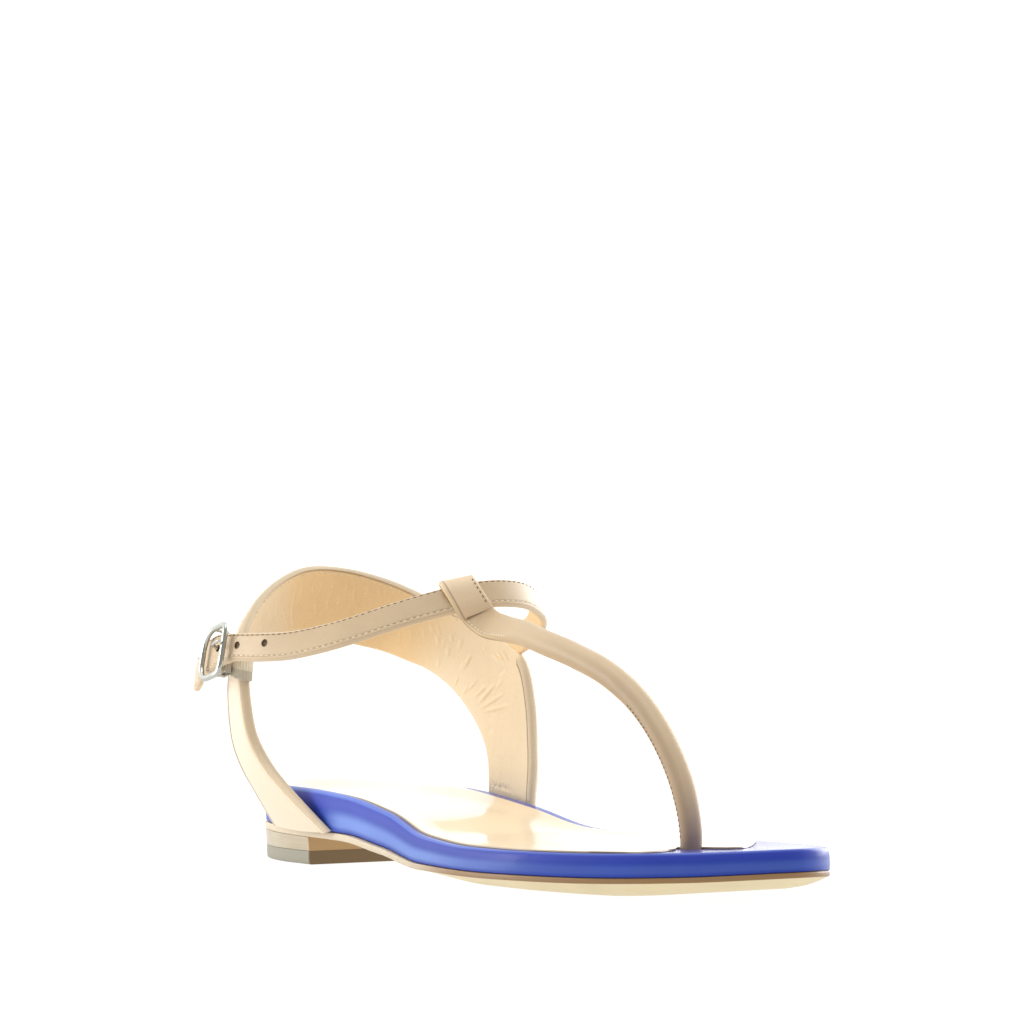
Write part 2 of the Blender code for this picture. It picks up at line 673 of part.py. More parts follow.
def make_sock():
    """Thin sheet on the dished bed, its front edge cut back round the toe post."""
    front = curve_through([row.across for row in SOCK_FRONT], [row.along for row in SOCK_FRONT])
    shares = [row.across for row in SOCK_FRONT]
    columns = sorted(shares + [(a + b) / 2 for a, b in zip(shares, shares[1:])])
    start = SOCK_BACK + SOCK_FIRST
    bm = bmesh.new()
    layers = []
    for lift in (SOCK_LIFT, SOCK_LIFT + SOCK_THICK):
        grid = []
        for r in range(SOCK_ROWS + 1):
            row = []
            share = (1 - cos(pi * r / SOCK_ROWS)) / 2
            for column in columns:
                along = start + share * (front(column) - start)
                outer = sock_side(along, -1)
                across = outer + column * (sock_side(along, 1) - outer)
                row.append(bm.verts.new(at(across, along, bed_top(across, along) + lift)))
            grid.append(row)
        layers.append(grid)
    for grid in layers:
        for r in range(SOCK_ROWS):
            for c in range(len(columns) - 1):
                bm.faces.new((grid[r][c], grid[r][c + 1], grid[r + 1][c + 1], grid[r + 1][c]))
    rims = []
    for grid in layers:
        left = [row[0] for row in grid]
        right = [row[-1] for row in grid]
        rims.append(left + grid[-1][1:-1] + right[::-1] + grid[0][-2:0:-1])
    bridge(bm, rims)
    material = finish("sock_leather", (0.86, 0.72, 0.55), 0.35)
    return place("insole_sock", as_mesh("insole_sock", bm), material, PARTS)


def buckle_frame_at():
    """Place on the buckle from (along to the tail, up the strap's width, out of the strap)."""
    row, centre, wide, out, run = strap_frames()[BUCKLE_ROW * STRIP_SPANS]

    def local(along, up, outward):
        return centre + run * along + wide * up + out * outward

    return local, wide, out, run


def make_upper():
    """All straps as one wall, joined where they cross, with the pin's hole."""
    material = finish("strap_leather", (0.60, 0.43, 0.31), 0.45)
    upper = place("upper", sling_mesh(), material, PARTS)
    combine(upper, "UNION", operand("ankle_strap", ankle_strap_mesh()))
    combine(upper, "UNION", operand("t_strap", t_strap_mesh()))
    local, wide, out, run = buckle_frame_at()
    hole = cylinder_mesh("pin_hole", local(-PIN_EYE, PIN_UP, 0), out, PIN_HOLE, 2 * STRAP_WALL, HOLE_SIDES)
    combine(upper, "DIFFERENCE", operand("pin_hole", hole))


def make_buckle_frame(steel):
    """Wire frame over the strap, with a middle bar behind the strap."""
    local, wide, out, run = buckle_frame_at()
    ring = []
    for k in range(FRAME_POINTS):
        turn = 2 * pi * k / FRAME_POINTS
        along = FRAME_HALF_LONG * signed_power(cos(turn), 2 / FRAME_SQUARE)
        up = FRAME_HALF_TALL * signed_power(sin(turn), 2 / FRAME_SQUARE)
        ring.append(local(along, up - FRAME_DROP, FRAME_OUT))
    frame = place("buckle_frame", tube_mesh("frame", ring, WIRE_RADIUS, closed=True), steel, PARTS)
    top = FRAME_HALF_TALL - FRAME_DROP
    half = [
        local(0, top, FRAME_OUT),
        local(0, top, BAR_CORNER - BAR_DEPTH),
        local(0, top - BAR_CORNER, -BAR_DEPTH),
    ]
    middle = local(0, -FRAME_DROP, 0)
    other = [point - 2 * wide * wide.dot(point - middle) for point in reversed(half)]
    bar = tube_mesh("middle_bar", half + other, BAR_RADIUS)
    combine(frame, "UNION", operand("middle_bar", bar))


def make_buckle_prong(steel):
    """Pin with an eye round the middle bar, up through the strap and over the front wire."""
    local, wide, out, run = buckle_frame_at()
    path = []
    for k in range(EYE_POINTS):
        turn = EYE_FIRST + EYE_STEP * k
        path.append(local(PIN_EYE * cos(turn), PIN_UP, PIN_EYE * sin(turn) - BAR_DEPTH))
    path += [local(row.along, PIN_UP, row.out) for row in PIN]
    place("buckle_prong", tube_mesh("buckle_prong", path, PIN_RADIUS), steel, PARTS)


def make_elastic():
    """Ribbed tab from the band's front edge to a sleeve on the buckle's middle bar."""
    local, wide, out, run = buckle_frame_at()
    points = [at(tab.x, tab.y, tab.z) for tab in ELASTIC_HOOK]
    inside = -BAR_DEPTH - BAR_RADIUS - GAP - ELASTIC_WALL / 2
    points.append(local(0, -FRAME_DROP, inside))
    path = [Vector(values) for values in smooth_rows(points, STRIP_SPANS)]
    rings = []
    for i, (point, heading) in enumerate(zip(path, headings(path))):
        upright = UP.lerp(wide, i / (len(path) - 1)).normalized()
        outward = upright.cross(heading).normalized()
        rings.append(section(point, upright, outward, ELASTIC_WIDTH, ELASTIC_WALL, STRIP_SQUARE))
    material = finish("ribbed_elastic", (0.66, 0.52, 0.40), 0.8)
    elastic = place("buckle_elastic", skin("buckle_elastic", rings), material, PARTS)
    bar = local(0, -FRAME_DROP, -BAR_DEPTH)
    sleeve = cylinder_mesh("sleeve", bar, wide, SLEEVE_RADIUS, SLEEVE_WIDTH)
    combine(elastic, "UNION", operand("sleeve", sleeve))
    bore = cylinder_mesh("sleeve_bore", bar, wide, BAR_RADIUS + GAP, 2 * ELASTIC_WIDTH)
    combine(elastic, "DIFFERENCE", operand("sleeve_bore", bore))
    slot = cylinder_mesh("pin_slot", local(0, PIN_UP, -BAR_DEPTH), wide, 2 * SLEEVE_RADIUS, PIN_SLOT)
    combine(elastic, "DIFFERENCE", operand("pin_slot", slot))


def reset():
    """Empty scene with one collection for the parts and one for the operands."""
    for piece in list(bpy.data.objects):
        bpy.data.objects.remove(piece)
    made = []
    for name in ("flat_t_strap_sandal", "operands"):
        collection = bpy.data.collections.new(name)
        bpy.context.scene.collection.children.link(collection)
        made.append(collection)
    return made


PARTS, CUTTERS = reset()
make_outsole()
make_heel()
make_footbed()
make_sock()
make_upper()
make_elastic()
STEEL = finish("buckle_steel", (0.78, 0.78, 0.80), 0.22, 1.0)
make_buckle_frame(STEEL)
make_buckle_prong(STEEL)
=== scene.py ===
"""Dresses the flat T-strap sandal, right foot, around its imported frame.

Metres, +Z up; the toe points along -Y, the inner (big toe) side is +X and the buckle is at -X.
Tables hold sizes on the last: across (inner side positive), along from the heel, and up. Most
are the part's own. The T-strap's upper end, the buckle's frame, the sock, the heel, the rim at
the waist and the foot of the outer strap have sizes of their own here.
"""
from collections import namedtuple
from math import asin, atan2, cos, hypot, pi, radians, sin

import bmesh
import bpy
import numpy as np
from bpy.props import FloatProperty, FloatVectorProperty, PointerProperty
from mathutils import Matrix, Vector


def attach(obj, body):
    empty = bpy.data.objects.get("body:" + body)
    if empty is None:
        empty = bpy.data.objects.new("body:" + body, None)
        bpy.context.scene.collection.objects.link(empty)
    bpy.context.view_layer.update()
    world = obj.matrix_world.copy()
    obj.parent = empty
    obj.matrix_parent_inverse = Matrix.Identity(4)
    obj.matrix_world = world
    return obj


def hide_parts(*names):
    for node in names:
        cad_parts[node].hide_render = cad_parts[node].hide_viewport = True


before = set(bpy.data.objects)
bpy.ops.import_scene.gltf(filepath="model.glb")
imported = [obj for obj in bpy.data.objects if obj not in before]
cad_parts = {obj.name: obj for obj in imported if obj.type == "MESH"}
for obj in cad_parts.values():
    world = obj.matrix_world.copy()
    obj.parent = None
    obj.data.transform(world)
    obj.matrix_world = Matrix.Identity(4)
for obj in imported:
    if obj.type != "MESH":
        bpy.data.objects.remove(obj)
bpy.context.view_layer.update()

bl_info = {
    "name": "Flat T-strap sandal",
    "version": (1, 0, 0),
    "blender": (4, 5, 0),
    "location": "View3D > Sidebar > Sandal",
    "description": "Builds the dressed sandal, piece by piece, around its packed frame",
    "category": "Add Mesh",
}

# Sizes of the last and its straps, as the part has them
LENGTH = 0.247
HEEL_BREAST = 0.0515
TOP_LIFT = 0.0040
GAP = 0.0003
STRAP_WIDTH = 0.0086
STRAP_WALL = 0.0022
BUCKLE_WIDTH = 0.0106
MIDDLE_ACROSS = -0.0030
MIDDLE_ALONG = 0.1235
HEEL_ROUND = 0.042
HEEL_SQUARE = 2.0
TOE_ROUND = 0.075
TOE_SQUARE = 1.8
STRIP_SQUARE = 4.0
STRIP_BLUNT = 0.5
TEE_BLUNT = 0.25
EDGE_BEVEL = 0.0004

# Sole: width, heights of the seam and rim, depth of the dish, edge thickness, underside
Sole = namedtuple("Sole", "share centre half ledge seam rim dish edge floor")
SOLE = (
    Sole(0.00, 0.0000, 0.0262, 0.0015, 0.0114, 0.0230, 0.0040, 0.0021, 0.0093),
    Sole(0.20, -0.0005, 0.0270, 0.0015, 0.0103, 0.0223, 0.0040, 0.0021, 0.0082),
    Sole(0.30, -0.0017, 0.0277, 0.0015, 0.0100, 0.0210, 0.0030, 0.0020, 0.0080),
    Sole(0.40, -0.0032, 0.0289, 0.0012, 0.0077, 0.0178, 0.0022, 0.0018, 0.0056),
    Sole(0.50, -0.0030, 0.0323, 0.0006, 0.0046, 0.0124, 0.0013, 0.0016, 0.0022),
    Sole(0.62, -0.0009, 0.0383, 0.0002, 0.0044, 0.0110, 0.0010, 0.0015, 0.0000),
    Sole(0.72, 0.0007, 0.0408, 0.0002, 0.0048, 0.0112, 0.0008, 0.0015, 0.0000),
    Sole(0.80, 0.0018, 0.0412, 0.0002, 0.0051, 0.0115, 0.0006, 0.0015, 0.0000),
    Sole(0.92, 0.0027, 0.0408, 0.0002, 0.0063, 0.0126, 0.0004, 0.0015, 0.0021),
    Sole(1.00, 0.0037, 0.0404, 0.0002, 0.0079, 0.0139, 0.0002, 0.0015, 0.0050),
)

# Side of the wrapped footbed from its foot to its rim, as shares of the wall's height
Wall = namedtuple("Wall", "inset rise")
WRAP = (
    Wall(0.045, 0.00),
    Wall(0.010, 0.035),
    Wall(0.00, 0.12),
    Wall(0.00, 0.45),
    Wall(0.02, 0.70),
    Wall(0.07, 0.88),
    Wall(0.13, 0.965),
    Wall(0.22, 1.00),
)
BED_LOOPS = (0.0040, 0.0058, 0.0076, 0.0098, 0.0125)
# Underside of the outsole: inset from the edge, and share of the edge's lift that is left
Under = namedtuple("Under", "inset lift")
UNDER = (
    Under(0.0110, 0.00),
    Under(0.0065, 0.18),
    Under(0.0030, 0.55),
    Under(EDGE_BEVEL, 1.00),
)
# Heel block: inset of its side from the sole's edge at foot and top, and its sections between
BLOCK_FOOT = 0.0018
BLOCK_TOP = 0.0014
HEEL_GAP = 0.00004
Block = namedtuple("Block", "share inset")
BLOCK = (
    Block(0.00, 0.00012),
    Block(0.02, 0.00004),
    Block(0.06, 0.0),
    Block(0.30, 0.0),
    Block(0.50, 0.0),
    Block(0.70, 0.0),
    Block(0.94, 0.0),
    Block(0.98, 0.00004),
    Block(1.00, 0.00012),
)
# Top lift's sections from the floor up
Lift = namedtuple("Lift", "inset up")
LIFT = (
    Lift(0.0008, 0.0),
    Lift(0.0003, 0.0002),
    Lift(0.0001, 0.0006),
    Lift(0.0, 0.0018),
    Lift(0.0, 0.0036),
    Lift(0.00004, 0.0039),
    Lift(0.00015, TOP_LIFT),
)
BREAST_EDGE = (HEEL_BREAST - 0.0008, HEEL_BREAST - 0.0002)

# Sock: insets from the bed's side, stretches where the inner one changes, and the front edge, cut
# back to the toe post, by share across from the outer side
SOCK_INSET = 0.0034
SOCK_RIM = 0.0020
SOCK_WAIST = 0.0043
SOCK_BACK = SOLE[0].ledge + SOCK_RIM
SOCK_FIRST = 0.00006
SOCK_NARROWS = (0.052, 0.082)
SOCK_WIDENS = (0.105, 0.175)
SockFront = namedtuple("SockFront", "across along")
SOCK_FRONT = (
    SockFront(0.00, 0.200),
    SockFront(0.08, 0.207),
    SockFront(0.25, 0.205),
    SockFront(0.40, 0.200),
    SockFront(0.50, 0.194),
    SockFront(0.565, 0.1890),
    SockFront(0.60, 0.1945),
    SockFront(0.64, 0.2015),
    SockFront(0.68, 0.2038),
    SockFront(0.72, 0.2036),
    SockFront(0.78, 0.2005),
    SockFront(0.86, 0.1945),
    SockFront(0.93, 0.1888),
    SockFront(1.00, 0.1830),
)

# Heel band and side straps: upper (or front) edge, lower (or rear) edge, outward bow, wall
Sling = namedtuple("Sling", "ux uy uz lx ly lz bow wall")
SLING = (
    Sling(-0.0289, 0.0672, 0.0105, -0.0252, 0.0310, 0.0111, 0.0016, 0.0016),
    Sling(-0.0298, 0.0554, 0.0172, -0.0263, 0.0268, 0.0166, 0.0015, 0.0020),
    Sling(-0.0308, 0.0463, 0.0230, -0.0280, 0.0246, 0.0212, 0.0012, 0.0022),
    Sling(-0.0321, 0.0391, 0.0290, -0.0300, 0.0209, 0.0275, 0.0008, 0.0024),
    Sling(-0.0342, 0.0339, 0.0377, -0.0319, 0.0185, 0.0352, 0.0006, 0.0024),
    Sling(-0.0355, 0.0324, 0.0470, -0.0332, 0.0184, 0.0440, 0.0004, 0.0024),
    Sling(-0.0360, 0.0315, 0.0570, -0.0330, 0.0180, 0.0525, 0.0004, 0.0024),
    Sling(-0.0346, 0.0278, 0.0668, -0.0290, 0.0140, 0.0590, 0.0004, 0.0024),
    Sling(-0.0290, 0.0236, 0.0745, -0.0215, 0.0103, 0.0625, 0.0004, 0.0024),
    Sling(-0.0195, 0.0192, 0.0820, -0.0115, 0.0080, 0.0645, 0.0004, 0.0024),
    Sling(-0.0050, 0.0162, 0.0878, -0.0005, 0.0068, 0.0657, 0.0004, 0.0024),
    Sling(0.0095, 0.0168, 0.0874, 0.0125, 0.0085, 0.0648, 0.0004, 0.0024),
    Sling(0.0185, 0.0236, 0.0844, 0.0225, 0.0130, 0.0626, 0.0004, 0.0024),
    Sling(0.0258, 0.0346, 0.0792, 0.0290, 0.0205, 0.0592, 0.0004, 0.0024),
    Sling(0.0310, 0.0491, 0.0727, 0.0325, 0.0290, 0.0558, 0.0004, 0.0024),
    Sling(0.0340, 0.0635, 0.0672, 0.0340, 0.0385, 0.0505, 0.0004, 0.0024),
    Sling(0.0350, 0.0745, 0.0602, 0.0340, 0.0473, 0.0444, 0.0004, 0.0024),
    Sling(0.0340, 0.0808, 0.0481, 0.0330, 0.0555, 0.0375, 0.0004, 0.0024),
    Sling(0.0322, 0.0846, 0.0375, 0.0312, 0.0612, 0.0322, 0.0005, 0.0024),
    Sling(0.0297, 0.0883, 0.0277, 0.0290, 0.0655, 0.0262, 0.0006, 0.0024),
    Sling(0.0273, 0.0905, 0.0195, 0.0273, 0.0680, 0.0195, 0.0008, 0.0020),
    Sling(0.0262, 0.0920, 0.0094, 0.0266, 0.0700, 0.0105, 0.0008, 0.0016),
)

# Ankle strap from inside the band's inner side, round the front, to its tail behind the buckle
Strap = namedtuple("Strap", "x y z lean width wall")
ANKLE_STRAP = (
    Strap(0.0342, 0.0520, 0.0610, 4.0, 0.0060, 0.0012),
    Strap(0.0345, 0.0630, 0.0632, 4.0, 0.0084, 0.0020),
    Strap(0.0350, 0.0730, 0.0664, 8.0, STRAP_WIDTH, STRAP_WALL),
    Strap(0.0338, 0.0825, 0.0705, 14.0, STRAP_WIDTH, STRAP_WALL),
    Strap(0.0305, 0.0885, 0.0756, 20.0, STRAP_WIDTH, STRAP_WALL),
    Strap(0.0235, 0.0925, 0.0787, 24.0, STRAP_WIDTH, STRAP_WALL),
    Strap(0.0135, 0.0945, 0.0797, 26.0, STRAP_WIDTH, STRAP_WALL),
    Strap(0.0030, 0.0932, 0.0788, 26.0, STRAP_WIDTH, STRAP_WALL),
    Strap(-0.0070, 0.0887, 0.0762, 26.0, STRAP_WIDTH, STRAP_WALL),
    Strap(-0.0158, 0.0822, 0.0730, 25.0, STRAP_WIDTH, STRAP_WALL),
    Strap(-0.0235, 0.0740, 0.0694, 23.0, STRAP_WIDTH, STRAP_WALL),
    Strap(-0.0300, 0.0642, 0.0663, 20.0, STRAP_WIDTH, STRAP_WALL),
    Strap(-0.0350, 0.0545, 0.0644, 15.0, STRAP_WIDTH, STRAP_WALL),
    Strap(-0.0389, 0.0448, 0.0639, 12.0, STRAP_WIDTH, STRAP_WALL),
    Strap(-0.0414, 0.0348, 0.0637, 13.0, STRAP_WIDTH, STRAP_WALL),
    Strap(-0.0421, 0.0262, 0.0623, 13.0, BUCKLE_WIDTH, 0.0020),
    Strap(-0.0413, 0.0178, 0.0595, 12.0, BUCKLE_WIDTH, 0.0018),
    Strap(-0.0395, 0.0094, 0.0532, 10.0, 0.0076, 0.0016),
    Strap(-0.0391, 0.0078, 0.0517, 10.0, 0.0036, 0.0012),
)
BUCKLE_ROW = 15

# T-strap from the toe post up to the loop folded over the ankle strap; turn and roll set
# the direction of its width, and square runs from a round tube's to a flat strip's
Tee = namedtuple("Tee", "x y z turn roll width wall square")
T_STRAP = (
    Tee(0.0070, 0.1936, 0.0075, 0.0, 0.0, 0.0058, 0.0058, 2.0),
    Tee(0.0068, 0.1938, 0.0155, 0.0, 0.0, 0.0060, 0.0060, 2.0),
    Tee(0.0063, 0.1912, 0.0268, 0.0, 0.0, 0.0066, 0.0064, 2.0),
    Tee(0.0057, 0.1844, 0.0385, 0.0, 0.0, 0.0068, 0.0066, 2.0),
    Tee(0.0052, 0.1735, 0.0492, 0.0, 0.0, 0.0070, 0.0068, 2.0),
    Tee(0.0047, 0.1600, 0.0569, 0.0, 0.0, 0.0072, 0.0070, 2.0),
    Tee(0.0043, 0.1440, 0.0622, 0.0, 0.0, 0.0072, 0.0070, 2.0),
    Tee(0.0040, 0.1275, 0.0663, 0.05, 0.35, 0.0072, 0.0070, 2.0),
    Tee(0.0045, 0.1196, 0.0681, 0.10, 1.00, 0.0074, 0.0062, 2.2),
    Tee(0.0050, 0.1078, 0.0696, 0.15, 1.90, 0.0078, 0.0044, 2.7),
    Tee(0.0051, 0.1000, 0.0709, 0.25, 1.10, 0.0090, 0.0029, 3.2),
    Tee(0.0048, 0.0945, 0.0737, 0.33, 0.50, 0.0098, 0.0021, 3.7),
    Tee(0.0034, 0.0910, 0.0784, 0.37, 0.24, 0.0106, 0.0016, STRIP_SQUARE),
    Tee(0.0020, 0.0887, 0.0824, 0.37, 0.22, 0.0106, 0.0020, STRIP_SQUARE),
    Tee(0.0006, 0.0897, 0.0832, 0.37, 0.22, 0.0106, 0.0020, STRIP_SQUARE),
    Tee(-0.0002, 0.0920, 0.0823, 0.37, 0.22, 0.0106, 0.0020, STRIP_SQUARE),
    Tee(0.0013, 0.0948, 0.0780, 0.37, 0.27, 0.0106, 0.0018, STRIP_SQUARE),
    Tee(0.0037, 0.0957, 0.0738, 0.37, 0.40, 0.0106, 0.0008, STRIP_SQUARE),
)

# Buckle, its pin and its elastic tab
FRAME_HALF_LONG = 0.0061
FRAME_HALF_TALL = 0.0075
FRAME_SQUARE = 6.0
FRAME_ROUND = 2.8
FRAME_DROP = 0.0009
FRAME_SHIFT = 0.0012
FRAME_LEAN = 0.14
WIRE_RADIUS = 0.0010
FRAME_OUT = STRAP_WALL / 2 + GAP + WIRE_RADIUS
BAR_RADIUS = 0.0007
BAR_DEPTH = 0.0034
BAR_CORNER = 0.0007
BAR_FOOT = -0.0069
PIN_RADIUS = 0.0006
PIN_EYE = BAR_RADIUS + GAP + PIN_RADIUS
PIN_REST = FRAME_OUT + WIRE_RADIUS + GAP + PIN_RADIUS
PIN_UP = 0.0006
PIN_HOLE = 0.0011
EYE_POINTS = 7
EYE_FIRST = radians(60)
EYE_STEP = radians(-40)
Pin = namedtuple("Pin", "along out")
PIN = (
    Pin(-PIN_EYE, 0.0009),
    Pin(-0.0022, 0.0024),
    Pin(-0.0034, 0.0036),
    Pin(-FRAME_HALF_LONG - FRAME_SHIFT, PIN_REST),
    Pin(-FRAME_HALF_LONG - FRAME_SHIFT - 2 * PIN_RADIUS, PIN_REST),
)
Tab = namedtuple("Tab", "x y z")
ELASTIC_HOOK = (
    Tab(-0.0326, 0.0272, 0.0594),
    Tab(-0.0333, 0.0306, 0.0590),
    Tab(-0.0347, 0.0327, 0.0588),
    Tab(-0.0366, 0.0326, 0.0590),
    Tab(-0.0378, 0.0302, 0.0595),
)
ELASTIC_WIDTH = 0.0105
ELASTIC_WALL = 0.0009
SLEEVE_RADIUS = BAR_RADIUS + GAP + ELASTIC_WALL
SLEEVE_WIDTH = 0.0103
ELASTIC_FOLD = (0.0027, 0.0032)
RIBS_RISE = 0.00009
FOLD_DROP = 0.00020
PIN_SLOT = 0.0022

# Creases of the band's lining, pressed in: two ends along and across, width, depth
Crease = namedtuple("Crease", "along1 across1 along2 across2 width depth")
CREASES = (
    Crease(0.0930, 0.0003, 0.0925, -0.0078, 0.00040, 0.00007),
    Crease(0.0886, 0.0029, 0.0903, -0.0073, 0.00035, 0.00006),
    Crease(0.1003, 0.0075, 0.1009, 0.0029, 0.00035, 0.00006),
    Crease(0.0941, 0.0066, 0.0919, -0.0046, 0.00040, 0.00006),
    Crease(0.1038, 0.0086, 0.1032, 0.0041, 0.00035, 0.00005),
    Crease(0.1074, 0.0084, 0.1074, 0.0043, 0.00035, 0.00005),
    Crease(0.1126, 0.0082, 0.1120, 0.0036, 0.00035, 0.00006),
    Crease(0.0964, 0.0094, 0.0958, 0.0005, 0.00040, 0.00005),
    Crease(0.0819, 0.0064, 0.0834, -0.0029, 0.00035, 0.00005),
    Crease(0.0858, 0.0057, 0.0858, -0.0049, 0.00035, 0.00006),
    Crease(0.0777, 0.0047, 0.0781, -0.0023, 0.00035, 0.00006),
    Crease(0.1015, 0.0020, 0.1020, -0.0043, 0.00035, 0.00006),
    Crease(0.1062, 0.0029, 0.1062, -0.0029, 0.00035, 0.00006),
    Crease(0.1103, 0.0041, 0.1097, -0.0014, 0.00040, 0.00006),
    Crease(0.1149, 0.0074, 0.1149, 0.0012, 0.00040, 0.00006),
    Crease(0.1188, 0.0093, 0.1188, 0.0038, 0.00040, 0.00005),
    Crease(0.1227, 0.0103, 0.1227, 0.0060, 0.00040, 0.00005),
    Crease(0.1277, 0.0114, 0.1277, 0.0083, 0.00040, 0.00005),
    Crease(0.1403, 0.0054, 0.1431, 0.0016, 0.00045, 0.00008),
    Crease(0.1431, 0.0060, 0.1463, 0.0011, 0.00045, 0.00009),
    Crease(0.1387, 0.0025, 0.1409, -0.0025, 0.00045, 0.00006),
    Crease(0.1349, -0.0002, 0.1364, -0.0057, 0.00045, 0.00005),
    Crease(0.1314, -0.0023, 0.1319, -0.0071, 0.00045, 0.00005),
    Crease(0.1441, 0.0025, 0.1469, -0.0018, 0.00050, 0.00010),
    Crease(0.1486, 0.0057, 0.1508, 0.0020, 0.00050, 0.00010),
    Crease(0.1502, 0.0003, 0.1529, -0.0048, 0.00045, 0.00012),
    Crease(0.1497, -0.0061, 0.1518, -0.0104, 0.00040, 0.00010),
    Crease(0.1474, 0.0026, 0.1491, -0.0028, 0.00050, 0.00007),
    Crease(0.1529, 0.0061, 0.1551, -0.0002, 0.00060, 0.00008),
    Crease(0.1590, -0.0022, 0.1602, -0.0057, 0.00040, 0.00010),
    Crease(0.1596, 0.0027, 0.1613, -0.0063, 0.00050, 0.00015),
    Crease(0.1613, -0.0089, 0.1630, -0.0128, 0.00035, 0.00014),
    Crease(0.1675, -0.0091, 0.1685, -0.0130, 0.00035, 0.00012),
    Crease(0.1685, -0.0043, 0.1690, -0.0111, 0.00045, 0.00010),
    Crease(0.1730, -0.0028, 0.1730, -0.0105, 0.00045, 0.00012),
    Crease(0.1749, 0.0010, 0.1764, -0.0109, 0.00050, 0.00015),
    Crease(0.1754, 0.0045, 0.1769, -0.0004, 0.00050, 0.00010),
    Crease(0.1800, 0.0030, 0.1784, -0.0109, 0.00050, 0.00012),
    Crease(0.1850, 0.0042, 0.1800, -0.0108, 0.00050, 0.00010),
    Crease(0.1660, 0.0105, 0.1720, 0.0085, 0.00035, 0.00020),
    Crease(0.1670, 0.0121, 0.1725, 0.0105, 0.00035, 0.00020),
    Crease(0.1650, 0.0082, 0.1700, 0.0080, 0.00040, 0.00012),
    Crease(0.1613, 0.0085, 0.1635, 0.0064, 0.00035, 0.00010),
    Crease(0.1619, 0.0060, 0.1624, 0.0054, 0.00030, 0.00012),
    Crease(0.1700, 0.0012, 0.1710, 0.0012, 0.00025, 0.00012),
    Crease(0.1715, 0.0000, 0.1720, 0.0010, 0.00025, 0.00012),
    Crease(0.1725, 0.0030, 0.1725, 0.0075, 0.00050, 0.00008),
    Crease(0.1825, -0.0082, 0.1830, -0.0062, 0.00080, 0.00005),
    Crease(0.1870, -0.0096, 0.1886, -0.0052, 0.00070, 0.00005),
    Crease(0.2092, -0.0108, 0.2109, 0.0010, 0.00050, 0.00010),
    Crease(0.2082, -0.0101, 0.2092, -0.0074, 0.00050, 0.00007),
)
CREASE_PRESS = 1.9
CREASE_FADE = 0.8
# Bank beside each crease: height, distance and width, in the crease's own depth and width
BANK_RISE = 0.8
BANK_OFF = 1.9
BANK_WIDTH = 1.3
FOLD_UNIT = 0.0001

# Stretch along the band where the ankle strap is sewn on and the rim stops
JOIN_START = (0.146, 0.149)
JOIN_END = (0.172, 0.175)
LATERAL_END = (0.062, 0.078)
STRAP_BEAD = 0.0011

# Punched holes of the ankle strap, as distances in front of the buckle
Hole = namedtuple("Hole", "gap up")
STRAP_HOLES = (Hole(0.0110, 0.0004), Hole(0.0215, 0.0010))
HOLE_RADIUS = 0.00115
# Depth of holes past the strap's middle, in walls: the pin's goes through, the others are shallow
THROUGH = 1.0
SHALLOW = -0.25

# Seam of the rolled toe post, in from its outer side
POST_SEAM = 0.00025
POST_SEAM_START = 0.006
POST_SEAM_END = 0.052
# Stretches along the band, ankle strap and T-strap that are sewn, and distances in from the edge
INNER_SEAM = (0.060, 0.150)
OUTER_SEAM = (0.078, 0.140)
STRAP_SEAM_START = 0.020
STRAP_SEAM_REST = 0.006
LOOP_SEAM = (0.1475, 0.1560)
LOOP_SEAM_IN = 0.0011
EDGE_SEAM = (0.112, 0.138)
EDGE_SEAM_IN = 0.0009
BAND_PITCH = 0.9
TEE_PITCH = 0.75

# Lines pressed into the straps or raised on them
Line = namedtuple("Line", "height width")
RIM_GROOVE = Line(0.00022, 0.00016)
RIM_GROOVE_OFF = 0.0001
REAR_GROOVE = Line(0.00018, 0.00016)
REAR_GROOVE_IN = 0.0010
TOP_GROOVE = Line(0.00012, 0.00022)
LOW_GROOVE = Line(0.00014, 0.00026)
LOW_SWELL = Line(0.00010, 0.00035)
LOW_SWELL_IN = 0.0007
POST_GROOVE = Line(0.00030, 0.00012)
POST_GROOVE_END = (POST_SEAM_END - 0.01, POST_SEAM_END + 0.02)
# Rolled rim: its height inside, what the side straps add, their bead outside, and its soft edge
RIM_RISE = 0.00030
RIM_STRAP_RISE = 0.00015
BEAD_RISE = 0.00060
RIM_EDGE = (-0.00025, 0.00010)

# Distances from a strap's edge at which its section has points
MARGINS = np.array((
    0.0, 0.02, 0.06, 0.13, 0.24, 0.40, 0.60, 0.80, 0.95, 1.08, 1.20, 1.34, 1.50, 1.70, 1.86,
    1.98, 2.08, 2.18, 2.30, 2.46, 2.75, 3.20, 3.80,
)) * 1e-3
STRAP_MARGINS = MARGINS[:17]

# Sock's sheet where it is stuck down: clearance and thickness
SHEET_LIFT = 0.00014
SHEET = 0.0005
SEAM_GAP = 0.00005

# Outsole's edge set back under toe and heel, and its lap under the footbed
TOE_TUCK = 0.0012
TOE_TUCK_SPAN = (0.19, 0.24)
HEEL_TUCK = 0.0013
HEEL_TUCK_SPAN = (0.060, 0.095)
EDGE_LAP = 0.0060
# Footbed's side set back at the toe, and the width of its foot
TOE_TRIM = 0.0010
TOE_TRIM_SPAN = (0.20, 0.24)
BED_LAP = 0.0080

# Numbers of sections of the dressed pieces
SOLE_SIDE = 150
CAP_RUNGS = 12
HEEL_SIDE = 70
BAND_SPANS = 32
STRAP_SPANS = 24
TEE_SPANS = 20
BAND_MIDDLE = 8
LINING_MIDDLE = 40
STRAP_MIDDLE = 9
TEE_TURNS = 33
SOCK_ROWS = 130
SOCK_COLUMNS = 84
STITCH_SIDES = 6
HOLE_SIDES = 20
UP = np.array((0.0, 0.0, 1.0))

